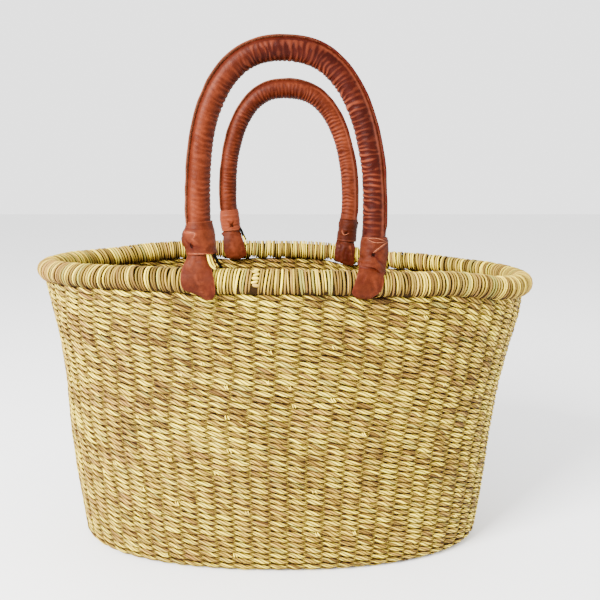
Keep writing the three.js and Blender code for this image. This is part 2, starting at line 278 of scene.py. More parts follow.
def strawMaterial(name, look):
    material, tree, shader = newMaterial(name)
    tone = add(tree, "Attribute", attribute_name="strandTone")
    parts = add(tree, "SeparateColor", {0: tone.outputs["Color"]})
    # cover is the alpha mask of painted shade made in closedStrand
    light, hue, seed, cover = parts.outputs[0], parts.outputs[1], parts.outputs[2], tone.outputs["Alpha"]
    uv = add(tree, "UVMap", uv_map="strandMap")
    place = add(tree, "SeparateXYZ", {0: uv.outputs[0]})
    along, around = place.outputs[0], place.outputs[1]

    wanderPlace = add(tree, "CombineXYZ", {
        0: times(tree, along, look["wanderRate"]), 1: times(tree, seed, look["seedSteps"][0])})
    wander = add(tree, "TexNoise", {"Vector": wanderPlace.outputs[0], "Scale": 1.0, "Detail": 1.0},
                 noise_dimensions="3D")
    turned = plus(tree, around, times(tree, wander.outputs[0], look["wander"]))
    turned = plus(tree, turned, plus(tree, times(tree, along, look["lay"]), look["turned"]))
    ridge = calc(tree, "ABSOLUTE", calc(tree, "SINE", times(tree, turned, math.pi * look["straws"])))

    fibrePlace = add(tree, "CombineXYZ", {
        0: times(tree, along, look["fibreRate"]), 1: times(tree, turned, look["fibres"]),
        2: times(tree, seed, look["seedSteps"][1])})
    fibre = add(tree, "TexNoise", {"Vector": fibrePlace.outputs[0], "Scale": 1.0, "Detail": 3.0, "Roughness": 0.6})

    counted = calc(tree, "FLOOR", times(tree, turned, look["straws"]))
    number = calc(tree, "FLOORED_MODULO", counted, look["straws"])
    eachPlace = add(tree, "CombineXYZ", {
        0: plus(tree, number, 0.5), 1: times(tree, seed, look["seedSteps"][2])})
    each = add(tree, "TexWhiteNoise", {"Vector": eachPlace.outputs[0]}, noise_dimensions="2D")
    eachHue = add(tree, "SeparateColor", {0: each.outputs["Color"]})

    fibreShift = times(tree, calc(tree, "SUBTRACT", fibre.outputs[0], 0.5), look["fibreTone"])
    eachShift = times(tree, calc(tree, "SUBTRACT", each.outputs["Value"], 0.5), look["eachTone"])
    colour = rampOf(tree, plus(tree, plus(tree, light, fibreShift), eachShift), *look["ramp"])
    greenStraw = calc(tree, "GREATER_THAN", eachHue.outputs[1], 1 - look["greenShare"])
    colour = blendColours(tree, times(tree, greenStraw, look["greenMix"]), colour, (*look["green"], 1))
    brownStraw = calc(tree, "GREATER_THAN", eachHue.outputs[2], 1 - look["brownShare"])
    browner = plus(tree, hue, times(tree, brownStraw, look["brownMix"]))
    browner.node.use_clamp = True
    colour = blendColours(tree, browner, colour, (*look["brown"], 1))
    # painted shade: the colour goes to the shade colour in the grooves between the straws, and where the cover mask
    # says the strand sinks into the wall
    edge = calc(tree, "POWER", ridge, look["edge"])
    colour = blendColours(tree, times(tree, edge, cover), (*look["paintedShade"], 1), colour)
    tree.links.new(colour, shader.inputs["Base Color"])

    height = plus(tree, times(tree, ridge, look["ridgeHeight"]), times(tree, fibre.outputs[0], look["fibreHeight"]))
    bump = add(tree, "Bump", {"Height": height, "Distance": look["bump"] * mm, "Strength": 1.0})
    tree.links.new(bump.outputs[0], shader.inputs["Normal"])
    rough = plus(tree, times(tree, fibre.outputs[0], look["roughSpread"]), look["rough"])
    tree.links.new(rough, shader.inputs["Roughness"])
    shader.inputs["Specular IOR Level"].default_value = look["specular"]
    return material


strawLook = {
    "straws": 6.0, "turned": 0.0, "lay": -0.024,  # straws round a strand, and how they lie on it
    "wander": 0.25, "wanderRate": 0.07, "fibres": 26.0, "fibreRate": 0.06, "seedSteps": (37.0, 51.0, 97.0),
    "fibreTone": 1.0, "eachTone": 0.85, "edge": 1.35,
    "greenShare": 0.14, "greenMix": 0.35, "brownShare": 0.13, "brownMix": 0.4,
    "bump": 0.8, "ridgeHeight": 0.75, "fibreHeight": 0.35, "rough": 0.5, "roughSpread": 0.2, "specular": 0.08,
    "paintedShade": (0.032, 0.012, 0.0025), "brown": (0.36, 0.185, 0.042), "green": (0.44, 0.46, 0.09),
    "ramp": [(0.0, (0.08, 0.038, 0.007)), (0.28, (0.22, 0.128, 0.016)),
             (0.58, (0.62, 0.41, 0.034)), (0.90, (1.0, 0.76, 0.042))],
}
rimLook = dict(strawLook, straws=2.0, turned=-0.375, lay=0.0, eachTone=0.3, edge=0.75, bump=0.3,
               ramp=[(0.0, (0.06, 0.032, 0.004)), (0.35, (0.15, 0.094, 0.012)),
                     (0.65, (0.36, 0.246, 0.025)), (0.98, (1.0, 0.74, 0.046))])
straw = strawMaterial("twinedStraw", strawLook)
rimStraw = strawMaterial("woundStraw", rimLook)


plainLook = {"scale": 900.0, "darkShare": 0.45, "bump": 0.2, "rough": 0.85, "specular": 0.05}


def plainStraw(name, colour):
    material, tree, shader = newMaterial(name)
    place = add(tree, "TexCoord").outputs["Object"]
    noise = add(tree, "TexNoise", {"Vector": place, "Scale": plainLook["scale"], "Detail": 3.0})
    dark = tuple(c * plainLook["darkShare"] for c in colour)
    tree.links.new(rampOf(tree, noise.outputs[0], (0.3, dark), (0.7, colour)), shader.inputs["Base Color"])
    bump = add(tree, "Bump", {"Height": noise.outputs[0], "Distance": plainLook["bump"] * mm, "Strength": 0.8})
    tree.links.new(bump.outputs[0], shader.inputs["Normal"])
    shader.inputs["Roughness"].default_value = plainLook["rough"]
    shader.inputs["Specular IOR Level"].default_value = plainLook["specular"]
    return material


# the core is coloured almost black, painted shade for the gaps between the wound turns
coreShadeStraw = plainStraw("coreShadeGrass", (0.022, 0.010, 0.002))
edgePale = plainStraw("rawEdge", (0.23, 0.068, 0.032))

weave = {
    "rows": 48, "firstRow": 5.8, "lastRow": 229.2,  # heights of the wall's rows, mm
    "baseRows": 18, "baseHeight": 2.3, "lastBaseRow": 2.4, "corner": 3.2, "cornerHeight": 2.7,
    "turns": 32, "steps": 14, "period": 29.0, "baseSteps": 10, "sides": 6, "bands": 4,
    "turnOut": 0.95, "turnUp": 1.26, "outSpread": 0.16,  # how far the strands swing as they cross
    "halfNarrow": 1.42, "halfFlat": 1.05, "wideSpread": 0.12, "halfThick": 1.05,
    "wave": 0.8, "footDip": 2.2, "dipWidth": 12.0, "dipDepth": 9.0, "dipStart": 12.0,
}
weaveTone = {"middle": 0.575, "patch": 0.13, "fine": 0.10, "float": 0.18, "insideShade": 0.20, "insideShadeBrown": 0.12}
mouth = {"lift": 0.85, "endDrop": 2.0, "frontLift": 1.2}
# side is -1 at the front; footInset is how far the feet stand inside the arch's legs
handles = {
    "front": {"side": -1, "halfWidth": 62.8, "footInset": 1.8, "middle": 0.5},
    "back": {"side": 1, "halfWidth": 61.3, "footInset": 4.8, "middle": -0.5},
}
footSpots = [(handle["middle"] + end * (handle["halfWidth"] - handle["footInset"]), handle["side"])
             for handle in handles.values() for end in (-1, 1)]

denseAngles = np.linspace(0, fullTurn, finePoints, endpoint=False)
rowHeights = np.linspace(weave["firstRow"], weave["lastRow"], weave["rows"])
wallTop = basket["height"] - basket["rollRadius"] - basket["clearance"]
outerWidth = basket["halfWidth"] + basket["wall"] / 2
outerDepth = basket["halfDepth"] + basket["wall"] / 2


def smoothColumn(values):
    for _ in range(2):
        values = np.concatenate([values[:1], (values[:-2] + 2 * values[1:-1] + values[2:]) / 4, values[-1:]])
    return values


shares = rowHeights / wallTop
rowWidth, rowDepth, rowShift, rowPower = [
    smoothColumn(np.interp(shares, wallSections[:, 0], wallSections[:, column])) for column in (1, 2, 3, 4)]
rowWave = driftField(14, 9, 3)


def mouthLift(x, y):  # the real mouth stands a little higher or lower than the smooth one
    ends = smoothStep(np.abs(x), 110, 200)
    front = smoothStep(-y, 0, 60) * (1 - ends)
    return mouth["lift"] - mouth["endDrop"] * ends + mouth["frontLift"] * front * smoothStep(x, 10, 90)


loops = []
for row in range(weave["rows"]):
    x, y = planPoints(denseAngles, rowWidth[row] * outerWidth - basket["wall"] / 2,
                      rowDepth[row] * outerDepth - basket["wall"] / 2, rowPower[row])
    x = x + basket["rimShift"] + rowShift[row] * basket["halfWidth"]
    z = rowHeights[row] - rimDrop(denseAngles) * shares[row] ** 2
    z = z + weave["wave"] * rowWave(denseAngles / fullTurn, shares[row]) * math.sin(math.pi * shares[row])
    z = z + (mouthLift(x, y) - mouth["lift"]) * shares[row] ** 8
    below = (basket["height"] - weave["dipStart"]) - rowHeights[row]
    for footX, footSide in footSpots:  # the first rows dip under the feet
        near = np.exp(-((x - footX) / weave["dipWidth"]) ** 2) * (np.sign(y) == footSide)
        z = z - weave["footDip"] * near * math.exp(-max(below, 0) / weave["dipDepth"])
    loops.append(np.stack([x, y, z], -1))

cornerWidth = rowWidth[0] * outerWidth - basket["wall"] / 2 - weave["corner"]
cornerDepth = rowDepth[0] * outerDepth - basket["wall"] / 2 - weave["corner"]
baseMiddle = basket["rimShift"] + rowShift[0] * basket["halfWidth"]


def baseLoop(depth, height):
    # rows that grow from a straight seam into the basket's oval
    width = cornerWidth - (cornerDepth - depth)
    x, y = planPoints(denseAngles, width, depth, rowPower[0])
    oval = evenLoop(np.stack([x, y, 0 * x], -1), loopPoints)[0]
    straight = width - depth
    x, y = depth * np.cos(denseAngles), depth * np.sin(denseAngles)
    x = x + np.where(np.cos(denseAngles) >= 0, straight, -straight)
    stadium = evenLoop(np.stack([x, y, 0 * x], -1), loopPoints)[0]
    share = smoothStep(depth / cornerDepth, 0.1, 1.0)
    loop = stadium + (oval - stadium) * share
    return loop + (baseMiddle, 0, height)


baseDepths = np.linspace(weave["lastBaseRow"], cornerDepth, weave["baseRows"] + 1)[:-1]
baseLoops = [baseLoop(depth, weave["baseHeight"]) for depth in baseDepths]
cornerLoop = baseLoop(cornerDepth, weave["cornerHeight"])
allLoops = baseLoops + [cornerLoop] + loops
baseCount = len(baseLoops)

phaseDrift = driftField(6, 6, 11)
phaseFine = driftField(60, 24, 12)
patchTone = driftField(40, 16, 13)
patchFine = driftField(110, 48, 14)
patchHue = driftField(26, 20, 15)
patchHueFine = driftField(90, 60, 16)
thickWave = driftField(50, 30, 17)


def weavePhase(s, level, index):  # how far the twists wander from their columns, in turns
    loose = 0.08 + 0.22 * smoothStep(level, 0.5, 0.95)
    jitter = math.sin(12.9 * index) * (0.015 + 0.03 * float(smoothStep(level, 0.5, 0.95)))
    return loose * phaseDrift(s, level) + 0.03 * phaseFine(s, level) + jitter


def rowStrands(index):
    rng = np.random.default_rng(1000 + index)
    perimeter = evenLoop(allLoops[index], 4)[1]
    inBase = index < baseCount
    turns = max(6, round(perimeter / weave["period"])) if inBase else weave["turns"]
    stations = turns * (weave["baseSteps"] if inBase else weave["steps"])
    centres, length = evenLoop(allLoops[index], stations)
    after = evenLoop(allLoops[min(index + 1, len(allLoops) - 1)], stations)[0]
    before = evenLoop(allLoops[max(index - 1, 0)], stations)[0]
    ahead = unit(np.roll(centres, -1, 0) - np.roll(centres, 1, 0))
    up = after - before
    up = unit(up - ahead * np.sum(up * ahead, -1, keepdims=True))
    out = np.cross(ahead, up)
    s = np.arange(stations) / stations
    level = index / len(allLoops)
    phase = turns * s + weavePhase(s, level, index)
    result = []
    for strand in (0, 1):
        phi = fullTurn * phase + strand * math.pi
        half = np.floor(phi / math.pi + 0.5).astype(int) % (2 * turns)
        floatTone = rng.uniform(-1, 1, 2 * turns)
        floatWide = 1 + weave["wideSpread"] * rng.uniform(-1, 1, 2 * turns)
        floatOut = 1 + weave["outSpread"] * rng.uniform(-1, 1, 2 * turns)
        floatSeed = rng.uniform(0, 1, 2 * turns)
        floatHue = rng.uniform(0, 1, 2 * turns)
        cos, sin = np.cos(phi), np.sin(phi)
        reach = weave["turnOut"] * floatOut[half] * (1.06 if strand == 0 else 0.94)
        rise = 0.6 * sin + 0.4 * np.arcsin(np.clip(sin, -1, 1)) * 2 / math.pi
        swing = reach * np.sign(cos) * np.abs(cos) ** 0.6
        line = centres + out * swing[:, None] - up * (weave["turnUp"] * rise)[:, None]
        tangent = unit(np.roll(line, -1, 0) - np.roll(line, 1, 0))
        wide = unit(np.cross(out, tangent))
        thick = np.cross(tangent, wide)
        halfWide = (weave["halfNarrow"] + weave["halfFlat"] * np.abs(cos) ** 1.2) * floatWide[half]
        halfThick = weave["halfThick"] * (1 + 0.1 * thickWave(s, level)) * np.ones(stations)
        # painted shade: floats on the inner face of the back wall's upper rows are darker and browner
        inside = smoothStep(centres[:, 1], 20, 60) * smoothStep(level, 0.6, 0.8) * (cos < 0)
        tone = weaveTone["middle"] + weaveTone["patch"] * patchTone(s, level) + weaveTone["fine"] * patchFine(s, level)
        tone = tone + weaveTone["float"] * floatTone[half] - weaveTone["insideShade"] * inside
        hue = 0.55 * patchHue(s, level) + 0.45 * patchHueFine(s, level) + 0.25 * floatTone[half]
        hue = 0.55 * smoothStep(hue, 0.25, 0.8) + 0.25 * smoothStep(floatHue[half], 0.9, 1.0)
        hue = hue + weaveTone["insideShadeBrown"] * inside
        colour = np.stack([np.clip(tone, 0, 1), np.clip(hue, 0, 1), floatSeed[half], 1 + 0 * cos], -1)
        result.append(closedStrand(line, wide, thick, halfWide, halfThick, weave["sides"], colour, length,
                                   centres, out))
    return result


wallParts = [[] for _ in range(weave["bands"])]
wallIndices = range(baseCount, len(allLoops))
for number, index in enumerate(wallIndices):
    wallParts[number * weave["bands"] // len(wallIndices)] += rowStrands(index)
baseParts = []
for index in range(baseCount):
    baseParts += rowStrands(index)
for number, parts in enumerate(wallParts):
    meshFromParts(f"wall_weave_{number + 1}", parts, straw, "straw", "woven_body")
meshFromParts("base_weave", baseParts, straw, "straw", "woven_body")
print("woven body:", sum(len(p[1]) for parts in wallParts for p in parts), "wall faces,",
      sum(len(p[1]) for p in baseParts), "base faces")

# stakes that the rows are twined round, given a dark tone that is mostly painted shade
stakes = {"radius": 0.8, "sides": 4}
stakeParts = []
stakeCount = 2 * weave["turns"]
stakeTable = []
for index in list(wallIndices)[::2] + [len(allLoops) - 1]:
    centres = evenLoop(allLoops[index], loopPoints)[0]
    s = np.arange(loopPoints) / loopPoints
    phase = weave["turns"] * s + weavePhase(s, index / len(allLoops), index)
    at = np.interp(np.arange(stakeCount) / 2, phase, s)
    stakeTable.append(np.stack([np.interp(at, s, centres[:, axis]) for axis in range(3)], -1))
stakeTable = np.array(stakeTable)
for number in range(stakeCount):
    line = stakeTable[:, number]
    stakeParts.append(openStrand(line, np.full(len(line), stakes["radius"]), stakes["sides"],
                                 (0.35, 0.3, number / stakeCount, 0.4)))
meshFromParts("wall_stakes", stakeParts, straw, "straw", "woven_body")
print("stakes done")

# ends of straws that stick out where a new one was laid in: x and z on the front, and many more all round
spliceEnds = {
    "length": 2.48, "radius": 0.55, "stand": 1.15, "more": 70,
    "front": [(-13, 198), (-11, 184), (36, 193), (-13, 162), (3.5, 156),
              (36, 150), (-61, 177), (-44, 156), (60, 120), (-90, 95)],
}
rng = np.random.default_rng(21)
wallLoops = [evenLoop(allLoops[index], loopPoints)[0] for index in wallIndices]
frontStart, frontMiddle = loopPoints // 2, loopPoints * 3 // 4
spots = []
for x, z in spliceEnds["front"]:
    row = min(range(len(wallLoops)), key=lambda r: abs(wallLoops[r][frontMiddle, 2] - z))
    spots.append((row, frontStart + int(np.argmin(np.abs(wallLoops[row][frontStart:, 0] - x)))))
for _ in range(spliceEnds["more"]):
    spots.append((int(rng.integers(2, len(wallLoops) - 3)), int(rng.integers(0, loopPoints))))
spliceParts = []
for row, i in spots:
    here = wallLoops[row][i]
    ahead = unit(wallLoops[row][(i + 4) % loopPoints] - wallLoops[row][(i - 4) % loopPoints])
    up = unit(wallLoops[min(row + 1, len(wallLoops) - 1)][i] - wallLoops[max(row - 1, 0)][i])
    out = np.cross(ahead, up)
    for side in (-1, 1):
        lean = rng.uniform(0.3, 0.9)
        start = here + out * 0.6 + ahead * (side * 0.9 - 0.8) + up * 1.5
        stand = spliceEnds["stand"] + rng.uniform(0.0, 0.7)
        end = start + ahead * (lean * 3.0 - 0.3) - up * spliceEnds["length"] + out * stand
        middle = (start + end) / 2 + out * 0.5
        points = np.stack([start, (start + middle) / 2, middle, (middle + end) / 2, end])
        spliceParts.append(openStrand(points, spliceEnds["radius"] * np.array([0.8, 1, 1, 1, 0.9]), 6,
                                      (rng.uniform(0.75, 1.0), 0.05, rng.uniform(0, 1), 1.0)))
meshFromParts("splice_ends", spliceParts, rimStraw, "straw", "woven_body")
print("splice ends:", len(spliceParts))

# the rim: a core of grass, coloured almost black as painted shade in the gaps between the turns, with straw wound round
# it
rim = {
    "pitch": 2.22, "sides": 16, "section": 6, "wrapRadius": 7.9, "halfWide": 0.89, "halfThick": 1.05,
    "coreWide": 7.3, "coreTall": 7.9, "coreDrop": 0.95, "coreSteps": 540, "coreSides": 12,
    "tie": 0.85, "pullBottom": 0.2, "pullTop": 0.14,  # how the turns draw together in small groups
    "joinX": -20.5, "joinHalf": 1.75, "endSpread": 0.42, "leftSlant": 3.6, "rightSlant": 2.0,
    # where light shows under the back of the rim: x and half the width
    "holes": [(-110, 1.5), (-72, 4.0), (-36.8, 3.7), (-19.3, 3.2), (-6.4, 1.6),
              (42.5, 4.5), (70.5, 1.5), (104.5, 4.0), (119, 1.5), (148, 5.0)],
}
rimLoop = rimPoints(denseAngles)
rimLength = evenLoop(rimLoop, 4)[1]
rimFine = evenLoop(rimLoop, finePoints)[0]


def roundEnd(x):  # 1 where the rim turns round an end; the turns of straw lie further apart there
    return smoothStep(np.abs(x), 110, 190)


wrapRun = np.concatenate([[0], np.cumsum(1 / (1 + rim["endSpread"] * roundEnd(rimFine[:, 0])))])
wraps = round(rimLength * wrapRun[-1] / finePoints / rim["pitch"])


def rimFrames(shares):  # middle, forward, outward and upward ways at shares of the rim's length
    at = (np.asarray(shares) % 1) * finePoints
    i = np.floor(at).astype(int)
    f = (at - i)[..., None]
    centre = rimFine[i % finePoints] * (1 - f) + rimFine[(i + 1) % finePoints] * f
    ahead = unit(rimFine[(i + 3) % finePoints] - rimFine[(i - 2) % finePoints])
    out = unit(np.cross(ahead, (0, 0, 1)))
    return centre, ahead, out, np.cross(out, ahead)


def openingAt(centre):  # 1 where light shows under the rim
    x, y = centre[..., 0], centre[..., 1]
    return sum(smoothStep(np.abs(x - hole), half + 1.2, half - 0.8) for hole, half in rim["holes"]) * (y > 0)


def rimCore():
    shares = np.arange(rim["coreSteps"]) / rim["coreSteps"]
    centre, ahead, out, up = rimFrames(shares)
    rough = driftField(150, 1, 31)(shares, 0)
    hole = openingAt(centre)
    tone = np.tile((0.2, 0.3, 0.5, 0.2), (len(shares), 1))
    low = rim["coreDrop"] * (1 - 1.8 * hole) - mouthLift(centre[:, 0], centre[:, 1]) + mouth["lift"]
    wide = rim["coreWide"] + 0.15 * rough
    tall = rim["coreTall"] - 1.1 * hole + 0.1 * rough
    return closedStrand(centre - up * low[:, None], out, up, wide, tall, rim["coreSides"], tone, rimLength)


def randomGroups(rng, count, sizes):  # the middle place of the small group each turn is pulled towards
    middle = np.zeros(count)
    start = 0
    while start < count:
        stop = min(start + int(rng.choice(sizes)), count)
        middle[start:stop] = wrapShares[start:stop].mean()
        start = stop
    return middle


rng = np.random.default_rng(77)
wrapShares = (np.arange(wraps) + rng.uniform(-0.15, 0.15, wraps)) / wraps
wrapShares = np.interp(wrapShares % 1 * wrapRun[-1], wrapRun, np.arange(finePoints + 1) / finePoints)
bottomMiddle = randomGroups(rng, wraps, [2, 2, 3, 3, 4])
topMiddle = randomGroups(rng, wraps, [1, 2, 2, 3])
slant = driftField(34, 1, 32)
browning = driftField(18, 1, 37)
wrapParts = []
theta = np.arange(rim["sides"]) * fullTurn / rim["sides"]
bottom = np.clip(-np.sin(theta), 0, 1) ** 1.5
top = np.clip(np.sin(theta), 0, 1) ** 1.5
for k in range(wraps):
    share = wrapShares[k]
    centre, ahead, out, up = rimFrames(share)
    centre = centre + up * mouthLift(centre[0], centre[1])
    opening = float(openingAt(centre))
    if centre[1] < 0 and abs(centre[0] - rim["joinX"]) < rim["joinHalf"]:  # the join in the winding
        continue
    slide = (bottomMiddle[k] - share) * rimLength * rim["pullBottom"] * bottom
    slide = slide + (topMiddle[k] - share) * rimLength * rim["pullTop"] * top
    end = float(roundEnd(centre[0]))
    endSlant = end * (rim["leftSlant"] if centre[0] < 0 else rim["rightSlant"])
    slide = slide + (1.3 * slant(share, 0) + endSlant + rng.uniform(-0.5, 0.5)) * np.sin(theta)
    slide = slide + rng.uniform(-0.25, 0.25) * np.cos(theta)
    radius = rim["wrapRadius"] + rng.uniform(-0.25, 0.35) + rim["tie"] * bottom ** 3 * (1 - 1.5 * opening)
    radial = out[None] * np.cos(theta)[:, None] + up[None] * np.sin(theta)[:, None]
    line = centre[None] + radial * radius[:, None] + ahead[None] * slide[:, None]
    wideness = rim["halfWide"] * (1 + rng.uniform(-0.18, 0.16)) * (1 - 0.1 * bottom) * (1 + rim["endSpread"] * end)
    thickness = np.full(len(theta), rim["halfThick"] * (1 + rng.uniform(-0.15, 0.2)))
    # painted shade: each turn is darker and browner on the roll's underside, and its alpha is a shade mask at its sides
    # and inner face
    tone = 0.6 + rng.uniform(-0.36, 0.36) + 0.1 * slant(share, 0) - 0.28 * bottom
    hue = max(0.0, rng.uniform(-0.9, 0.3)) + 0.12 * bottom + 0.45 * smoothStep(browning(share, 0), 0.4, 0.9)
    colour = np.stack([np.clip(tone, 0, 1), np.clip(hue, 0, 1), np.full(len(theta), rng.uniform(0, 1)),
                       1 - 0.25 * bottom], -1)
    wrapParts.append(closedStrand(line, radial, np.tile(ahead, (len(theta), 1)), thickness, wideness,
                                  rim["section"], colour, 50.0, line - radial * 0.8, radial))
meshFromParts("rim_wraps", wrapParts, rimStraw, "rim_straw", "rim_roll")
meshFromParts("rim_core", [rimCore()], coreShadeStraw, "rim_straw", "rim_roll")

# short ends laid over each other where the winding was joined
joinBlocks = {
    "length": 4.8, "angles": [84, 62, 42, 23, 5, -13], "radii": [0.9, 1.2, 1.0, 1.45, 1.0, 1.5],
    "tilts": [0.9, -0.4, 0.8, -0.1, 0.6, -0.3], "slides": [0.5, -0.4, 0.7, 0.0, -0.6, 0.3],
}
joinParts = []
frontShares = np.arange(finePoints // 2, finePoints) / finePoints
joinShare = np.interp(rim["joinX"], rimFine[finePoints // 2:, 0], frontShares)
centre, ahead, out, up = rimFrames(joinShare)
centre = centre + up * mouthLift(centre[0], centre[1])
for angle, radius, tilt, slide in zip(*(joinBlocks[key] for key in ("angles", "radii", "tilts", "slides"))):
    way = out * math.cos(math.radians(angle)) + up * math.sin(math.radians(angle))
    turned = unit(ahead + np.cross(way, ahead) * tilt * 0.4)
    steps = np.linspace(-0.5, 0.5, 6)[:, None] * joinBlocks["length"]
    arch = 0.5 * (1 - (2 * steps / joinBlocks["length"]) ** 2)
    points = centre + way * (rim["wrapRadius"] - 0.1 + arch) + turned * (steps + slide)
    radii = radius * np.array([0.5, 0.9, 1.0, 1.0, 0.9, 0.6])
    joinParts.append(openStrand(points, radii, 7, (0.72 + 0.1 * tilt, 0.0, (angle % 10) / 10, 1.0)))
meshFromParts("rim_joins", joinParts, rimStraw, "rim_straw", "rim_roll")
print("rim:", wraps, "turns,", sum(len(p[1]) for p in wrapParts), "faces")


def leatherMaterial(name, look):
    material, tree, shader = newMaterial(name)
    place = add(tree, "TexCoord").outputs["Object"]
    crease = add(tree, "Attribute", attribute_name="crease").outputs["Fac"]
    darkening = add(tree, "Attribute", attribute_name="darkening").outputs["Fac"]
    patches = add(tree, "TexNoise", {"Vector": place, "Scale": look["patchScale"], "Detail": 3.0, "Roughness": 0.55})
    mottle = add(tree, "TexNoise", {"Vector": place, "Scale": look["mottleScale"], "Detail": 4.0, "Roughness": 0.6})
    grain = add(tree, "TexVoronoi", {"Vector": place, "Scale": look["grainScale"]})
    pores = add(tree, "TexNoise", {"Vector": place, "Scale": look["poreScale"], "Detail": 2.0})
    broad = times(tree, patches.outputs[0], 1 - look["mottle"])
    value = plus(tree, broad, times(tree, mottle.outputs[0], look["mottle"]))
    colour = rampOf(tree, value, *look["ramp"])
    # positive crease values mix in painted shade for folds, grooves and holes; negative ones mix in a paler colour for
    # wear and painted highlights
    lower = blendColours(tree, darkening, colour, (*look["darkening"], 1), "MULTIPLY")
    dark = times(tree, crease, look["creaseShadeTone"])
    dark.node.use_clamp = True
    colour = blendColours(tree, dark, lower, (*look["crease"], 1))
    wearAndPaintedLight = times(tree, crease, -look["wearAndHighlightTone"])
    wearAndPaintedLight.node.use_clamp = True
    colour = blendColours(tree, wearAndPaintedLight, colour, (*look["wearAndPaintedLight"], 1))
    tree.links.new(colour, shader.inputs["Base Color"])
    fine = plus(tree, times(tree, mottle.outputs[0], 1.6), times(tree, pores.outputs[0], 0.3))
    height = plus(tree, times(tree, grain.outputs[0], 0.5), fine)
    bump = add(tree, "Bump", {"Height": height, "Distance": look["bump"] * mm, "Strength": 0.8})
    tree.links.new(bump.outputs[0], shader.inputs["Normal"])
    rough = plus(tree, times(tree, mottle.outputs[0], look["roughSpread"]), look["rough"])
    tree.links.new(rough, shader.inputs["Roughness"])
    shader.inputs["Specular IOR Level"].default_value = look["specular"]
    return material


leatherLook = {
    "patchScale": 42.0, "mottleScale": 240.0, "grainScale": 1500.0, "poreScale": 2600.0, "mottle": 0.38,
    "bump": 0.16, "rough": 0.36, "roughSpread": 0.18, "specular": 0.045,
    # the crease colour is painted shade; the pale colour serves wear and painted highlights
    "creaseShadeTone": 0.9, "crease": (0.030, 0.0026, 0.0008), "wearAndHighlightTone": 0.7, "wearAndPaintedLight": (0.19, 0.038, 0.0145),
    "darkening": (0.28, 0.15, 0.16),
    "ramp": [(0.36, (0.037, 0.0050, 0.0011)), (0.50, (0.057, 0.0090, 0.0023)), (0.64, (0.086, 0.0154, 0.0045))],
}
leather = leatherMaterial("gatheredLeather", leatherLook)
footLeather = leatherMaterial("creasedLeather", dict(leatherLook, rough=0.42, ramp=[
    (0.38, (0.030, 0.0048, 0.0011)), (0.50, (0.051, 0.0088, 0.0023)), (0.62, (0.085, 0.0162, 0.0050))]))
edgeLeather = leatherMaterial("seamEdge", dict(leatherLook, rough=0.5, darkening=(0.7, 0.6, 0.55), ramp=[
    (0.36, (0.050, 0.013, 0.006)), (0.50, (0.078, 0.023, 0.011)), (0.64, (0.13, 0.046, 0.025))]))


def mappedGrid(name, stepsU, stepsV, place, material, slotName, *nodes,
               crease=None, darkening=None, closed=False, caps=False):
    # a bmesh grid whose points are moved onto a surface; u runs 0 to 1 along, v 0 to 1 across
    bm = bmesh.new()
    bmesh.ops.create_grid(bm, x_segments=stepsU, y_segments=stepsV, size=1, calc_uvs=True)
    mesh = bpy.data.meshes.new(name)
    bm.to_mesh(mesh)
    bm.free()
    flat = np.zeros(len(mesh.vertices) * 3)
    mesh.vertices.foreach_get("co", flat)
    u, v = (flat.reshape(-1, 3)[:, :2].T + 1) / 2
    points = place(u, v)
    mesh.vertices.foreach_set("co", (points * mm).astype(np.float32).ravel())
    for label, values in (("crease", crease), ("darkening", darkening)):
        layer = mesh.attributes.new(label, "FLOAT", "POINT")
        layer.data.foreach_set("value", (values(u, v) if values else 0 * u).astype(np.float32))
    bm = bmesh.new()
    bm.from_mesh(mesh)
    if closed:
        bmesh.ops.remove_doubles(bm, verts=bm.verts, dist=1e-6)
    if caps:
        bmesh.ops.holes_fill(bm, edges=[e for e in bm.edges if e.is_boundary])
    if closed:
        bmesh.ops.recalc_face_normals(bm, faces=bm.faces)
    bm.to_mesh(mesh)
    bm.free()
    mesh.polygons.foreach_set("use_smooth", np.ones(len(mesh.polygons), bool))
    return pieceFromMesh(name, mesh, material, slotName, *nodes)


def throughPoints(points, count):  # a centripetal spline through points, at even distances
    points = np.asarray(points, float)
    knots = np.vstack([2 * points[0] - points[1], points, 2 * points[-1] - points[-2]])
    dense = []
    for i in range(len(points) - 1):
        p = knots[i:i + 4]
        t = np.concatenate([[0], np.cumsum(np.sqrt(np.linalg.norm(np.diff(p, axis=0), axis=1)))])
        x = np.linspace(t[1], t[2], 40, endpoint=False)[:, None]
        a1 = (t[1] - x) / (t[1] - t[0]) * p[0] + (x - t[0]) / (t[1] - t[0]) * p[1]
        a2 = (t[2] - x) / (t[2] - t[1]) * p[1] + (x - t[1]) / (t[2] - t[1]) * p[2]
        a3 = (t[3] - x) / (t[3] - t[2]) * p[2] + (x - t[2]) / (t[3] - t[2]) * p[3]
        b1 = (t[2] - x) / (t[2] - t[0]) * a1 + (x - t[0]) / (t[2] - t[0]) * a2
        b2 = (t[3] - x) / (t[3] - t[1]) * a2 + (x - t[1]) / (t[3] - t[1]) * a3
        dense.append((t[2] - x) / (t[2] - t[1]) * b1 + (x - t[1]) / (t[2] - t[1]) * b2)
    dense = np.vstack(dense + [points[-1:]])
    run = np.concatenate([[0], np.cumsum(np.linalg.norm(np.diff(dense, axis=0), axis=1))])
    at = np.linspace(0, run[-1], count)
    return np.stack([np.interp(at, run, dense[:, axis]) for axis in range(dense.shape[1])], -1), run[-1]


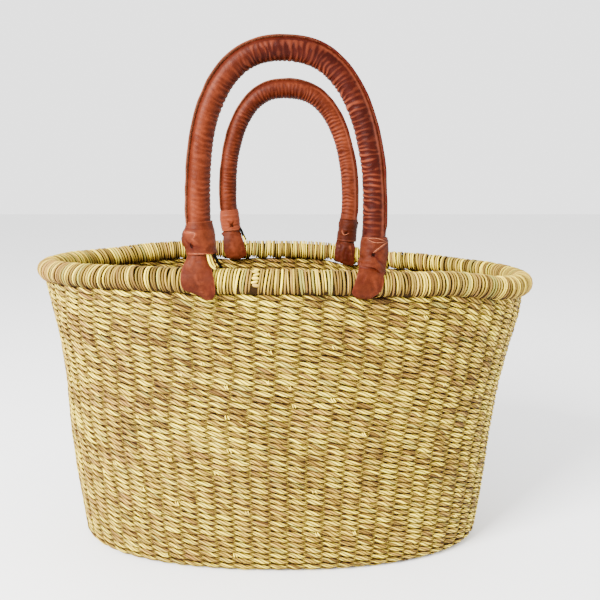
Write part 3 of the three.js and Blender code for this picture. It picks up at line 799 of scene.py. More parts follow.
# the handles: leather gathered along the inner side and sewn along the outer side
handleShape = {
    "radius": 8.75, "rise": 163.7, "legRise": 50.0, "archPower": 2.4, "archRows": 14,
    "pitch": 3.7, "wander": 0.55, "foldsFrom": (24, 36), "foldDepth": 0.55, "faceDepth": 0.42,
    "sag": {"front": 0.0, "back": 2.0},  # how far the middle of an arch bulges inwards, mm
    "seamTurn": 34.0, "seamHeight": 1.6, "seamThick": 1.1, "seamStart": 0.07, "seamSteps": 400, "seamSides": 10,
    "stitch": 3.9, "stitchRadius": 0.22,
    "collarFoot": 20.0, "collarHeight": 18.0, "footThickness": 2.2, "stepsAlong": 560, "stepsAround": 34,
}
# share of the way from the left foot to the right one, and how dark the leather is there
handleDarkening = {
    "front": [(0.0, 0.05), (0.16, 0.0), (0.30, 0.1), (0.40, 0.45), (0.49, 1.0), (0.56, 1.0),
              (0.66, 0.95), (0.80, 0.95), (0.92, 0.8), (1.0, 0.6)],
    # the back arch's right leg is painted paler, a painted highlight
    "back": [(0.0, 0.05), (0.25, 0.2), (0.42, 0.4), (0.52, 0.45), (0.60, 0.15), (0.70, -0.2),
             (0.85, -0.3), (1.0, -0.1)],
}
# how far each leg stands off its foot's middle along the rim
legShift = {"front_left": 0.8, "front_right": 1.2, "back_left": -0.5, "back_right": 1.2}


def footFrame(handle, end):
    x = handle["middle"] + end * (handle["halfWidth"] - handle["footInset"])
    share = (x - basket["rimShift"]) / basket["halfWidth"]
    angle = handle["side"] * math.acos(math.copysign(abs(share) ** (basket["rimPower"] / 2), share))
    point = rimPoints(angle)
    ahead = unit(rimPoints(angle + 0.01) - rimPoints(angle - 0.01)) * -handle["side"]  # towards +x
    legTop = handle["middle"] + end * handle["halfWidth"]
    lean = unit(np.array([(legTop - x) / handleShape["legRise"], 0, 1]))
    out = unit(np.cross(ahead, (0, 0, 1))) * (-handle["side"])
    side = unit(ahead - lean * ahead.dot(lean))
    return {"point": point, "along": ahead, "lean": lean, "out": out, "across": side, "side": handle["side"]}


feet = {}
for handleName, handle in handles.items():
    for endName, end in (("left", -1), ("right", 1)):
        feet[f"{handleName}_{endName}"] = footFrame(handle, end)


def handleLine(handleName, handle):
    left, right = feet[handleName + "_left"], feet[handleName + "_right"]
    points = []

    def leg(foot, shift):
        seat = basket["rollRadius"] + handleShape["footThickness"] + 1.0
        top = handleShape["collarFoot"] + handleShape["collarHeight"]
        return [foot["point"] + foot["lean"] * h + foot["across"] * shift for h in (seat, (seat + top) / 2, top)]
    points += leg(left, legShift[handleName + "_left"])
    for i in range(handleShape["archRows"] + 1):
        a = math.pi * (1 - i / handleShape["archRows"])
        x, z = planPoints(a, handle["halfWidth"], handleShape["rise"] - handleShape["legRise"],
                          handleShape["archPower"])
        share = (x / handle["halfWidth"] + 1) / 2
        base = left["point"] + (right["point"] - left["point"]) * share
        ease = legShift[handleName + "_left"] * smoothStep(0.06 - share, 0, 0.06) * 0.8 \
            + legShift[handleName + "_right"] * smoothStep(share - 0.94, 0, 0.06) * 0.8
        points.append(np.array([handle["middle"] + x + ease, base[1], base[2] + handleShape["legRise"] + z]))
    points += leg(right, legShift[handleName + "_right"])[::-1]
    return points


def buildHandle(handleName, handle, seed):
    name = handleName + "_handle"
    steps = handleShape["stepsAlong"]
    line, length = throughPoints(handleLine(handleName, handle), steps + 1)
    ahead = unit(np.gradient(line, axis=0))
    chord = unit(line[-1] - line[0])
    across = unit(np.cross((0, 0, 1), chord))  # towards the back
    outward = unit(np.cross(ahead, across))
    seamTurn = 360 - handleShape["seamTurn"]
    # each field repeats round the handle and runs along it
    wander = driftField(6, round(length / 6), seed)
    strength = driftField(4, round(length / 9), seed + 1)
    broad = driftField(5, 22, seed + 2)
    finer = driftField(18, round(length / 1.5), seed + 3)
    kinks = driftField(1, 15, seed + 4)
    darkening = np.array(handleDarkening[handleName])

    def frameAt(u):
        index = u * steps
        i = np.clip(np.floor(index).astype(int), 0, steps - 1)
        f = (index - i)[:, None]
        centre = line[i] * (1 - f) + line[i + 1] * f
        return centre, unit(outward[i] * (1 - f) + outward[i + 1] * f)

    def relief(u, v):
        turn = v * 360  # 0 on the outer side, 180 on the inner side
        inner = 0.5 - 0.5 * np.cos(np.radians(turn))
        run = u * length
        fromEnd = np.minimum(run, length - run)
        shown = smoothStep(fromEnd, *handleShape["foldsFrom"])
        cycle = run / handleShape["pitch"] + handleShape["wander"] * wander(v, u)
        ridge = np.abs(np.sin(np.pi * cycle)) ** 0.75  # rounded folds with sharp creases between them
        power = 0.5 + 0.5 * strength(v, u)
        nearSeam = np.abs((turn - seamTurn + 180) % 360 - 180)
        away = smoothStep(nearSeam, 10, 45)
        innerDepth = handleShape["foldDepth"] * inner ** 2.0 * (0.55 + 0.45 * power)
        depth = (innerDepth + handleShape["faceDepth"] * away * power ** 1.5) * shown
        sag = handleShape["sag"][handleName] * inner ** 2 * np.exp(-((u - 0.5) / 0.13) ** 2)
        shape = sag - depth * (1 - ridge) + 0.3 * broad(v, u) + 0.07 * finer(v, u) + 0.25 * kinks(0 * v, u)
        # a groove beside the seam, sunk a little and painted dark as shade
        grooveTurn = (turn - (seamTurn - 13) + 180) % 360 - 180
        groove = np.exp(-(grooveTurn / 7) ** 2)
        # a painted highlight: a pale band along the outer face of the first leg
        paintedHighlight = np.exp(-((turn - 292) / 17) ** 2) * (0.6 + 0.4 * strength(0 * v + 0.1, u))
        second = smoothStep(u, 0.5, 0.6)  # the second leg is lapped the other way: pale lap, a painted highlight, and dark edge, painted shade
        lapHighlight = np.exp(-(((turn - seamTurn + 16 + 180) % 360 - 180) / 9) ** 2)
        depth = depth * (0.7 + 0.8 * second)
        # painted shade in the fold troughs and painted highlights on the fold tops, with some random tone
        mark = (1 - ridge) ** 1.5 * depth * 1.2 - 0.85 * ridge ** 5 * depth * away + 0.22 * finer(v, u)
        mark = mark + 0.95 * groove * (1 - 0.9 * second) - 0.3 * paintedHighlight * (1 - second) - 0.75 * lapHighlight * second
        return shape - 0.3 * groove, np.clip(mark, -1, 1)

    def place(u, v):
        centre, outs = frameAt(u)
        run = u * length
        fromEnd = np.minimum(run, length - run)
        r = handleShape["radius"] * (0.75 + 0.25 * smoothStep(fromEnd, 0, 11)) + relief(u, v)[0]
        turn = v * fullTurn
        return centre + outs * (r * np.cos(turn))[:, None] + across[None] * (r * np.sin(turn))[:, None]

    def darkness(u):  # below 0 the leather is paler
        return np.interp(u, darkening[:, 0], darkening[:, 1])

    def coverDarkeningAndShade(u, v):  # the darkness along the handle, plus painted shade along the inner side, under the arch
        inner = 0.5 - 0.5 * np.cos(v * fullTurn)
        return np.maximum(darkness(u), 0) + 0.6 * inner ** 2.5 - 0.05

    mappedGrid(name + "_cover", steps, handleShape["stepsAround"], place, leather, "leather", name,
               crease=lambda u, v: relief(u, v)[1] + np.minimum(darkness(u), 0),
               darkening=coverDarkeningAndShade, closed=True, caps=True)

    # the sewn edge stands along the outer side, turned a little to one side
    edgeWave = driftField(44, 1, seed + 6)
    edgeLean = driftField(9, 1, seed + 7)
    seamStart, seamShare = handleShape["seamStart"], 1 - 2 * handleShape["seamStart"]

    def edgeFrame(u):
        centre, outs = frameAt(seamStart + seamShare * u)
        tilt = np.radians(handleShape["seamTurn"] + 5 * edgeLean(u, 0))
        radial = outs * np.cos(tilt)[:, None] - across[None] * np.sin(tilt)[:, None]
        lateral = outs * np.sin(tilt)[:, None] + across[None] * np.cos(tilt)[:, None]
        return centre, radial, lateral

    def placeEdge(u, v):
        centre, radial, lateral = edgeFrame(u)
        fade = smoothStep(np.minimum(u, 1 - u), 0, 0.02)
        turn = v * fullTurn
        tall = handleShape["seamHeight"] * fade * (1 + 0.16 * edgeWave(u, 0))
        up = np.sign(np.sin(turn)) * np.abs(np.sin(turn)) ** 0.7
        r = handleShape["radius"] - 0.7 + (0.7 + tall) * (0.5 + 0.5 * up)
        broadness = handleShape["seamThick"] / 2 * (1 + 0.12 * edgeWave(u + 0.3, 0))
        w = broadness * np.sign(np.cos(turn)) * np.abs(np.cos(turn)) ** 0.6
        return centre + radial * r[:, None] + lateral * w[:, None]

    def seamPaintedLight(u, v):  # pale along the top, a painted highlight, and dark on the second leg, painted shade on its outer edge
        top = np.sin(v * fullTurn)
        return 0.3 * edgeWave(u, 0) - 0.35 * np.clip(top, 0, 1) + 1.5 * smoothStep(u, 0.45, 0.6) * (0.7 + 0.3 * top)

    mappedGrid(name + "_seam", handleShape["seamSteps"], handleShape["seamSides"], placeEdge, edgeLeather, "leather",
               name, closed=True, caps=True, crease=seamPaintedLight,
               darkening=lambda u, v: 0.8 * darkness(seamStart + seamShare * u))

    count = int(seamShare * length / handleShape["stitch"])
    stitches = []
    for number in range(1, count - 1):
        along = (number + np.array([0.12, 0.3, 0.5, 0.7, 0.88])) / count
        centre, radial, lateral = edgeFrame(along)
        lift = np.array([0.1, 0.34, 0.4, 0.34, 0.1])[:, None]
        aside = handleShape["seamThick"] / 2 + lift - 0.12
        points = centre + radial * (handleShape["radius"] + 0.75) - lateral * aside
        if along[2] < 0.5 or number % 2:
            stitches.append(openStrand(points, np.full(5, handleShape["stitchRadius"]), 4, (0.55, 0.4, 0.5, 1.0)))
    meshFromParts(name + "_stitches", stitches, threadBrown, "leather", name)


threadLook = {"twist": 420.0, "fuzz": 700.0, "bump": 0.1}


def threadMaterial(name, dark, pale, rough=0.7):
    material, tree, shader = newMaterial(name)
    place = add(tree, "TexCoord").outputs["Object"]
    twist = add(tree, "TexWave", {"Vector": place, "Scale": threadLook["twist"], "Distortion": 2.0, "Detail": 1.0},
                bands_direction="DIAGONAL")
    noise = add(tree, "TexNoise", {"Vector": place, "Scale": threadLook["fuzz"], "Detail": 2.0})
    value = times(tree, plus(tree, twist.outputs["Fac"], noise.outputs[0]), 0.5)
    tree.links.new(rampOf(tree, value, (0.25, dark), (0.75, pale)), shader.inputs["Base Color"])
    bump = add(tree, "Bump", {"Height": value, "Distance": threadLook["bump"] * mm, "Strength": 0.8})
    tree.links.new(bump.outputs[0], shader.inputs["Normal"])
    shader.inputs["Roughness"].default_value = rough
    shader.inputs["Specular IOR Level"].default_value = 0.0
    return material


threadBrown = threadMaterial("seamThread", (0.026, 0.007, 0.003), (0.10, 0.034, 0.015))
threadBlack = threadMaterial("waxedCord", (0.0012, 0.0010, 0.0009), (0.0045, 0.0036, 0.0030), 0.6)
buildHandle("front", handles["front"], 200)
buildHandle("back", handles["back"], 300)
print("handles done")

# the feet: a band that goes down over the rim, through the weave and up the other side
# rows: height over the rim's middle, distance out, reach to the left and to the right, roundness
# lines: height and place of both ends, width, and depth (+ a crease, painted dark as shade, - a worn fold)
footShapes = {
    "front_left": {
        "darkening": 0.1, "wrinkle": 0.8,
        "lines": [
            (10, -9, 3, -10.5, 0.6, 0.5), (-4, 6, -9, 9, 0.9, 0.5), (5, -1, -6, 3, 1.2, -0.35),
            (-2, 9, -9, 10, 0.6, 0.6), (3, -8, -5, -4, 0.5, 0.25),
        ],
        "rows": [
            (33, 8.4, 7.0, 7.8, 4.4), (26, 8.7, 6.8, 7.8, 4.4), (20.2, 9.6, 7.0, 8.0, 3.4),
            (15.6, 10.5, 8.6, 9.0, 2.6), (10.8, 11.2, 11.0, 10.3, 2.0), (6, 11.6, 12.2, 11.5, 1.6),
            (0, 12.0, 12.4, 12.4, 1.2), (-4.7, 11.4, 10.6, 12.6, 1.0), (-7.5, 10.7, 4.6, 12.2, 1.0),
            (-9.7, 9.9, -1.2, 11.4, 1.0), (-12.2, 9.0, -4.6, 9.6, 0.8), (-11.6, 7.2, -4.6, 9.0, 0.8),
        ],
    },
    "front_right": {
        "darkening": 0.05, "wrinkle": 0.8, "hiddenLeft": 0.66,
        "lines": [
            (13.2, -9.5, 12.6, 1.5, 0.5, 0.75), (12.6, 1.5, 8.2, 9.0, 0.5, 0.9), (6, 8.2, -1, 7.4, 0.5, -0.7),
            (4, 1, -3, 3, 1.0, -0.35), (8, -6, 2, -9, 0.6, 0.35),
        ],
        "rows": [
            (33, 8.2, 7.0, 7.4, 4.8), (26, 8.3, 7.2, 7.8, 4.8), (19, 8.4, 7.8, 8.2, 4.8),
            (13.2, 9.0, 9.6, 8.4, 4.2), (9.8, 10.8, 11.0, 8.4, 2.6), (6.7, 11.5, 11.9, 7.7, 1.8),
            (2.1, 11.8, 13.3, 7.5, 1.4), (-2.6, 11.6, 14.6, 6.2, 1.2), (-4.9, 11.2, 15.0, 3.6, 1.0),
            (-6.6, 10.6, 14.0, 1.6, 1.0), (-8.2, 9.4, 12.2, 0.0, 0.8), (-9.3, 7.4, 10.5, -1.0, 0.6),
        ],
    },
    "back_left": {
        "darkening": 0.15, "wrinkle": 0.8,
        "lines": [
            (8, -2, 0, 0, 1.4, -0.4), (17, -8, 15, 8, 0.5, 0.4), (-1, 9, -4, 11.5, 0.7, 0.6),
        ],
        "rows": [
            (33, 8.4, 7.4, 7.4, 4.4), (26, 8.7, 7.6, 7.6, 4.4), (19.6, 8.8, 8.6, 8.4, 4.4),
            (16.8, 9.4, 11.4, 9.2, 3.4), (14.6, 10.0, 9.6, 9.4, 2.8), (11, 11.1, 10.1, 10.2, 2.0),
            (3.6, 11.6, 10.4, 11.2, 1.6), (-1.5, 11.5, 9.8, 12.2, 1.2), (-4.1, 11.1, 9.3, 12.8, 1.0),
            (-6.6, 10.5, 7.8, 9.4, 1.0), (-8.4, 9.2, 5.4, 6.6, 0.8), (-9.4, 7.0, 4.2, 5.4, 0.6),
        ],
    },
    "back_right": {
        "darkening": 0.5, "wrinkle": 1.6,
        "lines": [
            (9, -2, -4, -4, 1.1, 0.9), (7, 2, -6, 1, 0.8, 0.8), (3, 5, -7, 6, 0.9, 0.9),
            (6, -7, -4, -7.5, 0.8, 0.7), (10, 6, 1, 9, 0.8, -0.7), (9, -5, 5, -1, 0.8, -0.4),
        ],
        "rows": [
            (33, 8.4, 6.6, 8.6, 4.4), (26, 8.6, 6.6, 8.8, 4.4), (20, 8.2, 6.8, 9.0, 4.8),
            (13.6, 8.7, 6.9, 9.6, 4.2), (9.9, 10.8, 8.5, 11.2, 2.2), (4.6, 11.6, 8.9, 11.5, 1.6),
            (-1.9, 11.5, 8.4, 11.6, 1.2), (-5.7, 11.0, 7.6, 11.1, 1.0), (-8.2, 10.2, 3.6, 10.5, 1.0),
            (-9.6, 9.2, -1.2, 9.4, 0.8), (-10.4, 7.0, -3.4, 8.0, 0.6),
        ],
    },
}
# the same for the side of a foot that doesn't show
plainRows = [
    (33, 8.4, 7.2, 7.2, 4.4), (26, 8.7, 7.4, 7.4, 4.4), (20, 9.3, 8.0, 8.0, 3.8), (14, 10.4, 9.0, 9.0, 2.6),
    (7, 11.5, 10.4, 10.6, 1.6), (0, 12.0, 10.8, 11.6, 1.2), (-6, 11.0, 9.0, 10.8, 1.2), (-9.4, 8.6, 5.0, 8.0, 1.0),
]
footSheet = {"rowSteps": 160, "stepsAlong": 124, "stepsAcross": 22, "thickness": 1.5}
sleeveSheet = {"stepsAround": 76, "stepsUp": 34, "thickness": 1.2}
softEdge = {"width": 0.4, "segments": 2, "angle": 50.0}


def lineMarks(height, lateral, lines, spread=1.3):  # how deep the lines of a table are at each point
    total = 0 * height
    for h1, l1, h2, l2, width, value in lines:
        way = np.array([h2 - h1, l2 - l1])
        share = np.clip(((height - h1) * way[0] + (lateral - l1) * way[1]) / (way @ way), 0, 1)
        far = np.hypot(height - h1 - share * way[0], lateral - l1 - share * way[1])
        total = total + value * np.exp(-(far / (spread * width)) ** 2) * (1 - 0.4 * share)
    return total


def finishLeatherSheet(piece, foot, thickness):
    bm = bmesh.new()
    bm.from_mesh(piece.data)
    if not any(edge.is_boundary for edge in bm.edges):
        bmesh.ops.recalc_face_normals(bm, faces=bm.faces)
    facing = Vector(foot["out"])
    probe = max(bm.faces, key=lambda face: face.calc_center_median().dot(facing))
    if probe.normal.dot(facing) < 0:
        bmesh.ops.reverse_faces(bm, faces=bm.faces)
    bm.to_mesh(piece.data)
    bm.free()
    thick = piece.modifiers.new("thickness", "SOLIDIFY")
    thick.thickness = thickness * mm
    thick.offset = -1
    bevel = piece.modifiers.new("softEdge", "BEVEL")
    bevel.width = softEdge["width"] * mm
    bevel.segments = softEdge["segments"]
    bevel.limit_method = "ANGLE"
    bevel.angle_limit = math.radians(softEdge["angle"])


def buildFoot(name, foot, look, seed):
    shown, hidden = np.array(look["rows"], float), np.array(plainRows, float)
    hidden[:, 2] *= look.get("hiddenLeft", 1.0)
    outside, inside = (shown, hidden) if foot["side"] < 0 else (hidden, shown)
    inside = inside[::-1].copy()
    inside[:, 1] *= -1
    left, right = shown[-1, 2], shown[-1, 3]
    seat = np.array([(-10.0, 4.8, left, right, 0.4), (-10.4, 0, left, right, 0), (-10.0, -4.8, left, right, 0.4)])
    rowSteps = footSheet["rowSteps"]
    table = throughPoints(np.vstack([outside, seat, inside]), rowSteps + 1)[0]
    wrinkle = driftField(10, 60, seed)
    soft = driftField(5, 14, seed + 1)

    def spot(u, v):
        at = u * rowSteps
        i = np.clip(np.floor(at).astype(int), 0, rowSteps - 1)
        f = (at - i)[:, None]
        height, reach, left, right, roundness = (table[i] * (1 - f) + table[i + 1] * f).T
        lateral = -left + (left + right) * v
        seen = reach * foot["side"] * -1 > 3
        return height, reach, roundness, lateral, lineMarks(height, lateral, look["lines"]) * seen

    def relief(u, v):
        return 0.35 * soft(v * 0.8, u) + 0.16 * look["wrinkle"] * wrinkle(v * 0.9, u) - 0.5 * spot(u, v)[4]

    def place(u, v):
        height, reach, roundness, lateral, _ = spot(u, v)
        sign = np.clip(reach / 3, -1, 1)
        bulge = reach - sign * (roundness * (2 * v - 1) ** 2 - relief(u, v))
        tall = np.maximum(height, 0)[:, None]
        low = np.minimum(height, 0)[:, None] - ((1 - np.abs(sign)) * relief(u, v))[:, None]
        return foot["point"] + foot["lean"] * tall + np.array([0, 0, 1.0]) * low \
            + foot["along"] * lateral[:, None] + foot["out"] * bulge[:, None]

    # painted shade in the wrinkle hollows and a little painted highlight on the soft bulges
    def crease(u, v):
        middle = np.abs(2 * v - 1)
        edge = 0.3 * smoothStep(middle, 0.55, 0.92) - 0.7 * smoothStep(middle, 0.94, 0.99)
        folds = np.clip(-wrinkle(v * 0.9, u), 0, 1)
        return np.clip(0.4 * look["wrinkle"] * folds ** 1.5 + edge + spot(u, v)[4] - 0.15 * soft(v * 0.8, u), -1, 1)

    # the band is darker in its middle, where it runs under the rim roll: painted shade
    piece = mappedGrid(name + "_band", footSheet["stepsAlong"], footSheet["stepsAcross"], place, footLeather,
                       "foot_leather", name, crease=crease,
                       darkening=lambda u, v: look["darkening"] + 0.35 * smoothStep(np.abs(u - 0.5), 0.16, 0.02))
    finishLeatherSheet(piece, foot, footSheet["thickness"])


# the collars: heights with the sleeve's middle and radius there, how far the lower edge dips, where the hole
# is, and the same kind of lines as on the feet
collarShapes = {
    "front_left": {
        "darkening": 0.12, "heights": [20.3, 25, 28.4, 31.7, 35, 40, 43.5],
        "middles": [1.5, 0.8, 0.0, -0.2, -0.1, 0.6, 0.8], "radii": [10.9, 11.4, 12.1, 12.3, 11.7, 9.9, 9.3],
        "skew": 0.0, "hole": (26.9, -3.5),
        "lines": [
            (36.5, -8.0, 35.2, 1.0, 0.5, -0.9), (35.2, 1.0, 31.5, -1.5, 0.6, -0.7),
            (31.5, -1.5, 28.0, 2.5, 0.6, -0.5), (26.9, -3.5, 31.5, -7.5, 0.6, 0.9),
            (26.9, -3.5, 23.0, -1.5, 0.6, 0.8), (26.9, -3.5, 25.5, 4.0, 0.5, 0.5),
            (21.3, -6.0, 21.0, 3.0, 0.45, -0.9), (21.0, 3.0, 20.6, 10.0, 0.45, -0.8),
            (24.0, 6.0, 30.5, 11.5, 0.5, -0.35), (38.6, -7.0, 38.2, 11.0, 0.5, 0.6),
            (41.0, -7.0, 40.6, 10.0, 0.4, 0.5),
        ],
    },
    "front_right": {
        "darkening": 0.2, "heights": [13.8, 19.5, 24, 29, 32.6, 35.2], "middles": [0.9, 1.7, 2.0, 2.1, 2.1, 1.8],
        "radii": [10.4, 10.4, 10.4, 10.2, 10.0, 9.4], "skew": -5.4, "hem": 0.7, "hole": (23.6, -1.2),
        "lines": [
            (24.6, -0.6, 31.6, 9.2, 0.55, -1.0), (23.2, -0.8, 29.6, 9.4, 0.5, 0.8),
            (23.0, -0.2, 13.5, 9.0, 0.6, 0.9), (25.5, -1.5, 31.0, -9.0, 0.7, 0.35),
            (21.0, 1.5, 19.5, 9.0, 0.45, 0.5), (18.5, 3.5, 16.5, 9.0, 0.4, 0.5), (16.4, -10.0, 16.6, 1.0, 0.4, 0.5),
            (33.6, -4.6, 31.9, 1.0, 0.4, 0.9),
        ],
    },
    "back_left": {
        "darkening": 0.0, "heights": [20.2, 28, 35.5, 41], "middles": [-0.2, -0.5, -0.7, -0.6],
        "radii": [9.9, 9.9, 10.1, 9.5], "skew": 0.0, "hole": (25.3, 0.5), "pale": 0.8,
        "lines": [
            (25.3, 0.5, 29.5, -2.2, 0.6, 0.9), (25.3, 0.5, 29.8, 3.0, 0.6, 0.8), (25.3, 0.5, 22.6, -3.0, 0.5, 0.7),
            (31.5, -3.0, 29.5, 2.5, 0.5, -0.6), (20.9, -8.5, 20.9, 8.5, 0.4, -0.5),
            (36.0, -8.0, 35.5, 8.0, 0.5, -0.5),
        ],
    },
    "back_right": {
        "darkening": 0.45, "heights": [14.2, 24, 31, 36.7], "middles": [1.2, 1.3, 1.5, 1.3],
        "radii": [9.9, 9.8, 9.8, 9.3], "skew": 0.0, "hem": 0.25, "hole": (21.9, 0.7),
        "lines": [
            (24.5, -3.6, 20.5, -1.8, 0.5, -0.9), (20.5, -1.8, 22.0, 3.4, 0.5, -0.8),
            (21.9, 0.7, 25.5, 3.6, 0.5, 0.6), (14.8, -7.0, 14.9, 9.5, 0.4, -0.5), (35.5, -6.5, 35.9, 9.5, 0.5, 0.6),
            (38.0, -6.0, 38.0, 9.0, 0.5, -0.6),
        ],
    },
}


def collarPoint(foot, look, height, lateral, lift=0.0):  # a point on the sleeve's front
    middle = np.interp(height, look["heights"], look["middles"])
    radius = np.interp(height, look["heights"], look["radii"])
    sine = math.sqrt(max(0.0, 1 - ((lateral - middle) / radius) ** 2))
    out = np.cross(foot["across"], foot["lean"])
    out = out * np.sign(out[1]) * -1  # towards -y
    return foot["point"] + foot["lean"] * height + foot["across"] * lateral + out * (radius * sine + lift)


def buildCollar(name, foot, look, seed):
    wrinkle = driftField(16, 12, seed)
    soft = driftField(6, 4, seed + 1)
    folds = driftField(4, 16, seed + 2)
    lean, side = foot["lean"], foot["across"]
    out = np.cross(side, lean)
    out = out * np.sign(out.dot(foot["out"]))
    shownSide = 1.0 if foot["side"] < 0 else -1.0
    low, high = look["heights"][0], look["heights"][-1]

    def spot(u, v):
        turn = u * fullTurn
        height = low + (high - low) * v + 0.5 * soft(u, 0.3) * (1 - v)
        height = height + look["skew"] * (1 - v) ** 2 * smoothStep(np.cos(turn), -0.1, 0.8)
        middle = np.interp(height, look["heights"], look["middles"])
        radius = np.interp(height, look["heights"], look["radii"])
        return turn, height, middle, radius

    def marks(u, v):
        turn, height, middle, radius = spot(u, v)
        lateral = middle + radius * np.cos(turn)
        seen = smoothStep(np.sin(turn) * shownSide, -0.1, 0.15)
        total = lineMarks(height, lateral, look["lines"])
        dh, dl = height - look["hole"][0], lateral - look["hole"][1]
        far = np.hypot(dh, dl)
        hole = np.exp(-(far / 1.3) ** 2)
        star = np.clip(np.cos(5 * np.arctan2(dh, dl) + 0.6), 0, 1) ** 2 * np.exp(-far / 2.6)
        return total * seen, (hole + 0.7 * star) * seen

    def place(u, v):
        turn, height, middle, radius = spot(u, v)
        total, hole = marks(u, v)
        radius = radius + 0.3 * soft(u, v) + 0.12 * wrinkle(u, v) + 0.2 * folds(u, v) - 0.55 * total - 1.1 * hole
        return foot["point"] + lean * height[:, None] + side * (middle + radius * np.cos(turn))[:, None] \
            + out * (radius * np.sin(turn))[:, None]

    # painted shade in the lines' creases, the hole and the fold hollows; a positive hem paints a shadow line along the
    # lower edge
    def crease(u, v):
        total, hole = marks(u, v)
        wearAndPaintedLight = look.get("hem", -0.4) * smoothStep(v, 0.05, 0.0) - 0.35 * smoothStep(v, 0.94, 1.0) - look.get("pale", 0)
        return np.clip(total + 1.3 * hole + wearAndPaintedLight + 0.25 * np.clip(-folds(u, v), 0, 1), -1, 1)

    piece = mappedGrid(name + "_sleeve", sleeveSheet["stepsAround"], sleeveSheet["stepsUp"], place, footLeather,
                       "foot_leather", name, crease=crease, darkening=lambda u, v: look["darkening"] + 0 * u, closed=True)
    finishLeatherSheet(piece, foot, sleeveSheet["thickness"])


for number, (name, foot) in enumerate(feet.items()):
    buildFoot(name + "_foot", foot, footShapes[name], 400 + 10 * number)
    buildCollar(name + "_collar", foot, collarShapes[name], 500 + 10 * number)
print("feet and collars done")

# dark thread tufts in the holes
tuft = {"strands": 4, "reach": 1.9, "root": 0.3, "tip": 0.16, "steps": 7}
for number, (name, look) in enumerate(collarShapes.items()):
    rng = np.random.default_rng(600 + number)
    tufts = []
    height, lateral = look["hole"]
    for strand in range(tuft["strands"]):
        way = rng.uniform(0, fullTurn)
        ends = [(height + far * math.sin(way), lateral + far * math.cos(way), lift)
                for far, lift in ((0, -0.6), (0.8, 0.2), (tuft["reach"], 0.35))]
        points = throughPoints([collarPoint(feet[name], look, *end) for end in ends], tuft["steps"])[0]
        tufts.append(openStrand(points, np.linspace(tuft["root"], tuft["tip"], tuft["steps"]), 5, (0.3, 0.2, 0.5, 1.0)))
    meshFromParts(f"{name}_tuft", tufts, threadBlack, "cord", f"{name}_collar")

# rolled edges on the collars: radius, then height, place and lift of points along each
curlSteps = 21
curls = {
    "front_left_curl": (
        "front_left", 0.34,
        [(37.0, -8.0, 0.1), (36.6, -4.0, 0.5), (35.6, 0.5, 0.4), (32.5, -0.5, 0.2)]),
    "front_left_hem": (
        "front_left", 0.3,
        [(21.2, -5.6, 0.1), (21.2, 0.0, 0.2), (20.9, 6.0, 0.25), (20.5, 12.0, 0.1)]),
    "front_right_lip": (
        "front_right", 0.32,
        [(33.8, -5.0, 0.1), (34.8, -1.0, 0.5), (34.2, 3.5, 0.5), (32.6, 8.2, 0.2)]),
    "front_right_lip_under": (
        "front_right", 0.28,
        [(33.8, -5.0, 0.1), (31.8, -0.5, 0.4), (31.8, 4.0, 0.4), (32.4, 8.2, 0.2)]),
    "front_right_fold": (
        "front_right", 0.38,
        [(24.4, -1.0, 0.1), (27.6, 2.6, 0.45), (30.2, 6.2, 0.45), (31.8, 9.0, 0.2)]),
    "back_left_hem": (
        "back_left", 0.28,
        [(20.8, -8.0, 0.1), (20.9, 0.0, 0.25), (20.6, 8.0, 0.1)]),
    "back_right_knot": (
        "back_right", 0.42,
        [(25.2, -4.2, 0.1), (22.6, -3.2, 0.4), (20.6, -0.6, 0.5), (22.6, 3.4, 0.2)]),
}
for name, (footName, radius, rows) in curls.items():
    points = throughPoints([collarPoint(feet[footName], collarShapes[footName], *row) for row in rows], curlSteps)[0]
    taper = np.minimum(1, 0.35 + 3 * np.minimum(np.linspace(0, 1, curlSteps), np.linspace(1, 0, curlSteps)))
    meshFromParts(name, [openStrand(points, radius * taper, 6, (0.8, 0.1, 0.5, 1.0))], edgePale, "foot_leather",
                  f"{footName}_collar")


def besideFoot(footName, rows, steps):  # rows of height, distance along the rim and distance out
    foot = feet[footName]
    return throughPoints([foot["point"] + foot["lean"] * height + foot["across"] * lateral + foot["out"] * reach
                          for height, lateral, reach in rows], steps)[0]


# a hooked end of leather beside the back right collar
hook = {"radius": 0.85, "steps": 9, "rows": [(35.8, 8.2, 0), (34.2, 10.4, 0), (32.6, 11.0, 0), (30.6, 9.0, 0)]}
hookStrand = openStrand(besideFoot("back_right", hook["rows"], hook["steps"]),
                        np.full(hook["steps"], hook["radius"]), 6, (0.2, 0.1, 0.5, 1.0))
meshFromParts("back_right_hook", [hookStrand], threadBrown, "foot_leather", "back_right_collar")

# the ends of the black binding cord, and straw ends, beside the left feet
tieSteps, strawSteps, strawRadius = 25, 15, 0.9
tieEnds = {
    "front_left_tie": ("front_left", 1.15, [
        (23, 10.4, 2.0), (19.5, 11.6, 3.2), (15.0, 13.2, 2.6), (11.4, 14.6, 1.0), (9.6, 15.6, -0.6)]),
    "back_left_tie": ("back_left", 1.35, [
        (22, 8.4, -5.0), (18.5, 9.8, -5.6), (14.5, 10.9, -4.8), (11.4, 12.0, -2.0), (9.6, 12.8, 0.4)]),
}
strawEnds = [
    ("front_left", [(22, 6.5, 6.5), (19.5, 7.8, 7.5), (15.5, 8.8, 8.8), (12.0, 10.2, 8.8), (9.6, 12.4, 7.2)]),
    ("front_left", [(22, 7.8, 4.0), (18.5, 9.0, 5.0), (14.0, 10.6, 6.0), (10.6, 12.2, 6.0)]),
    ("back_left", [(13.5, 10.4, -7.0), (9.5, 11.8, -7.6), (5.0, 12.6, -8.6)]),
]
for name, (footName, radius, rows) in tieEnds.items():
    cordStrand = openStrand(besideFoot(footName, rows, tieSteps), np.full(tieSteps, radius), 8, (0.2, 0.1, 0.5, 1.0))
    meshFromParts(name + "_cord", [cordStrand], threadBlack, "cord", name)
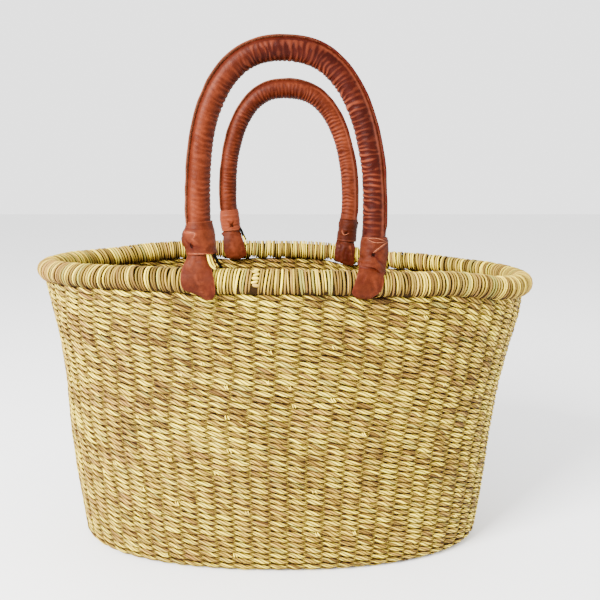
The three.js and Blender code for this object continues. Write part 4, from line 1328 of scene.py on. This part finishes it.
looseEnds = [openStrand(besideFoot(footName, rows, strawSteps), np.full(strawSteps, strawRadius), 6,
                        (0.85, 0.0, 0.3, 1.0)) for footName, rows in strawEnds]
meshFromParts("loose_straw_ends", looseEnds, rimStraw, "rim_straw", "rim_roll")
print("ties done")

# a plain pale floor and soft light, in metres and watts
room = {"floorSize": 6.0, "floorTone": 0.8, "floorRough": 0.6, "skyStrength": 2.55}
view = {"place": (0.011, -0.650, 0.3133), "lookDown": 9.26, "lens": 44.7, "sensor": 36.0}
floorMesh = bpy.data.meshes.new("floor")
bm = bmesh.new()
bmesh.ops.create_grid(bm, x_segments=1, y_segments=1, size=room["floorSize"])
bm.to_mesh(floorMesh)
bm.free()
floor = bpy.data.objects.new("floor", floorMesh)
bpy.context.scene.collection.objects.link(floor)
floorMaterial, _, floorShader = newMaterial("paleFloor")
floorShader.inputs["Base Color"].default_value = (room["floorTone"],) * 3 + (1,)
floorShader.inputs["Roughness"].default_value = room["floorRough"]
floorMesh.materials.append(floorMaterial)

world = bpy.data.worlds.new("studio")
bpy.context.scene.world = world
world.use_nodes = True
background = world.node_tree.nodes["Background"]
background.inputs["Color"].default_value = (1, 1, 1, 1)
background.inputs["Strength"].default_value = room["skyStrength"]


def softLight(name, place, target, size, power):
    light = bpy.data.lights.new(name, "AREA")
    light.shape = "RECTANGLE"
    light.size, light.size_y = size
    light.energy = power
    lamp = bpy.data.objects.new(name, light)
    bpy.context.scene.collection.objects.link(lamp)
    lamp.location = place
    lamp.rotation_euler = (Vector(target) - Vector(place)).to_track_quat("-Z", "Y").to_euler()


softLight("keyLight", (-1.1, -1.25, 1.15), (0, 0, 0.2), (0.8, 0.8), 210)
softLight("sideLight", (1.5, -0.1, 0.6), (0, 0, 0.25), (0.7, 0.9), 20)

cameraData = bpy.data.cameras.new("camera")
cameraData.sensor_width = view["sensor"]
cameraData.lens = view["lens"]
camera = bpy.data.objects.new("camera", cameraData)
bpy.context.scene.collection.objects.link(camera)
camera.location = view["place"]
camera.rotation_euler = (math.radians(90 - view["lookDown"]), 0, 0)
bpy.context.scene.camera = camera
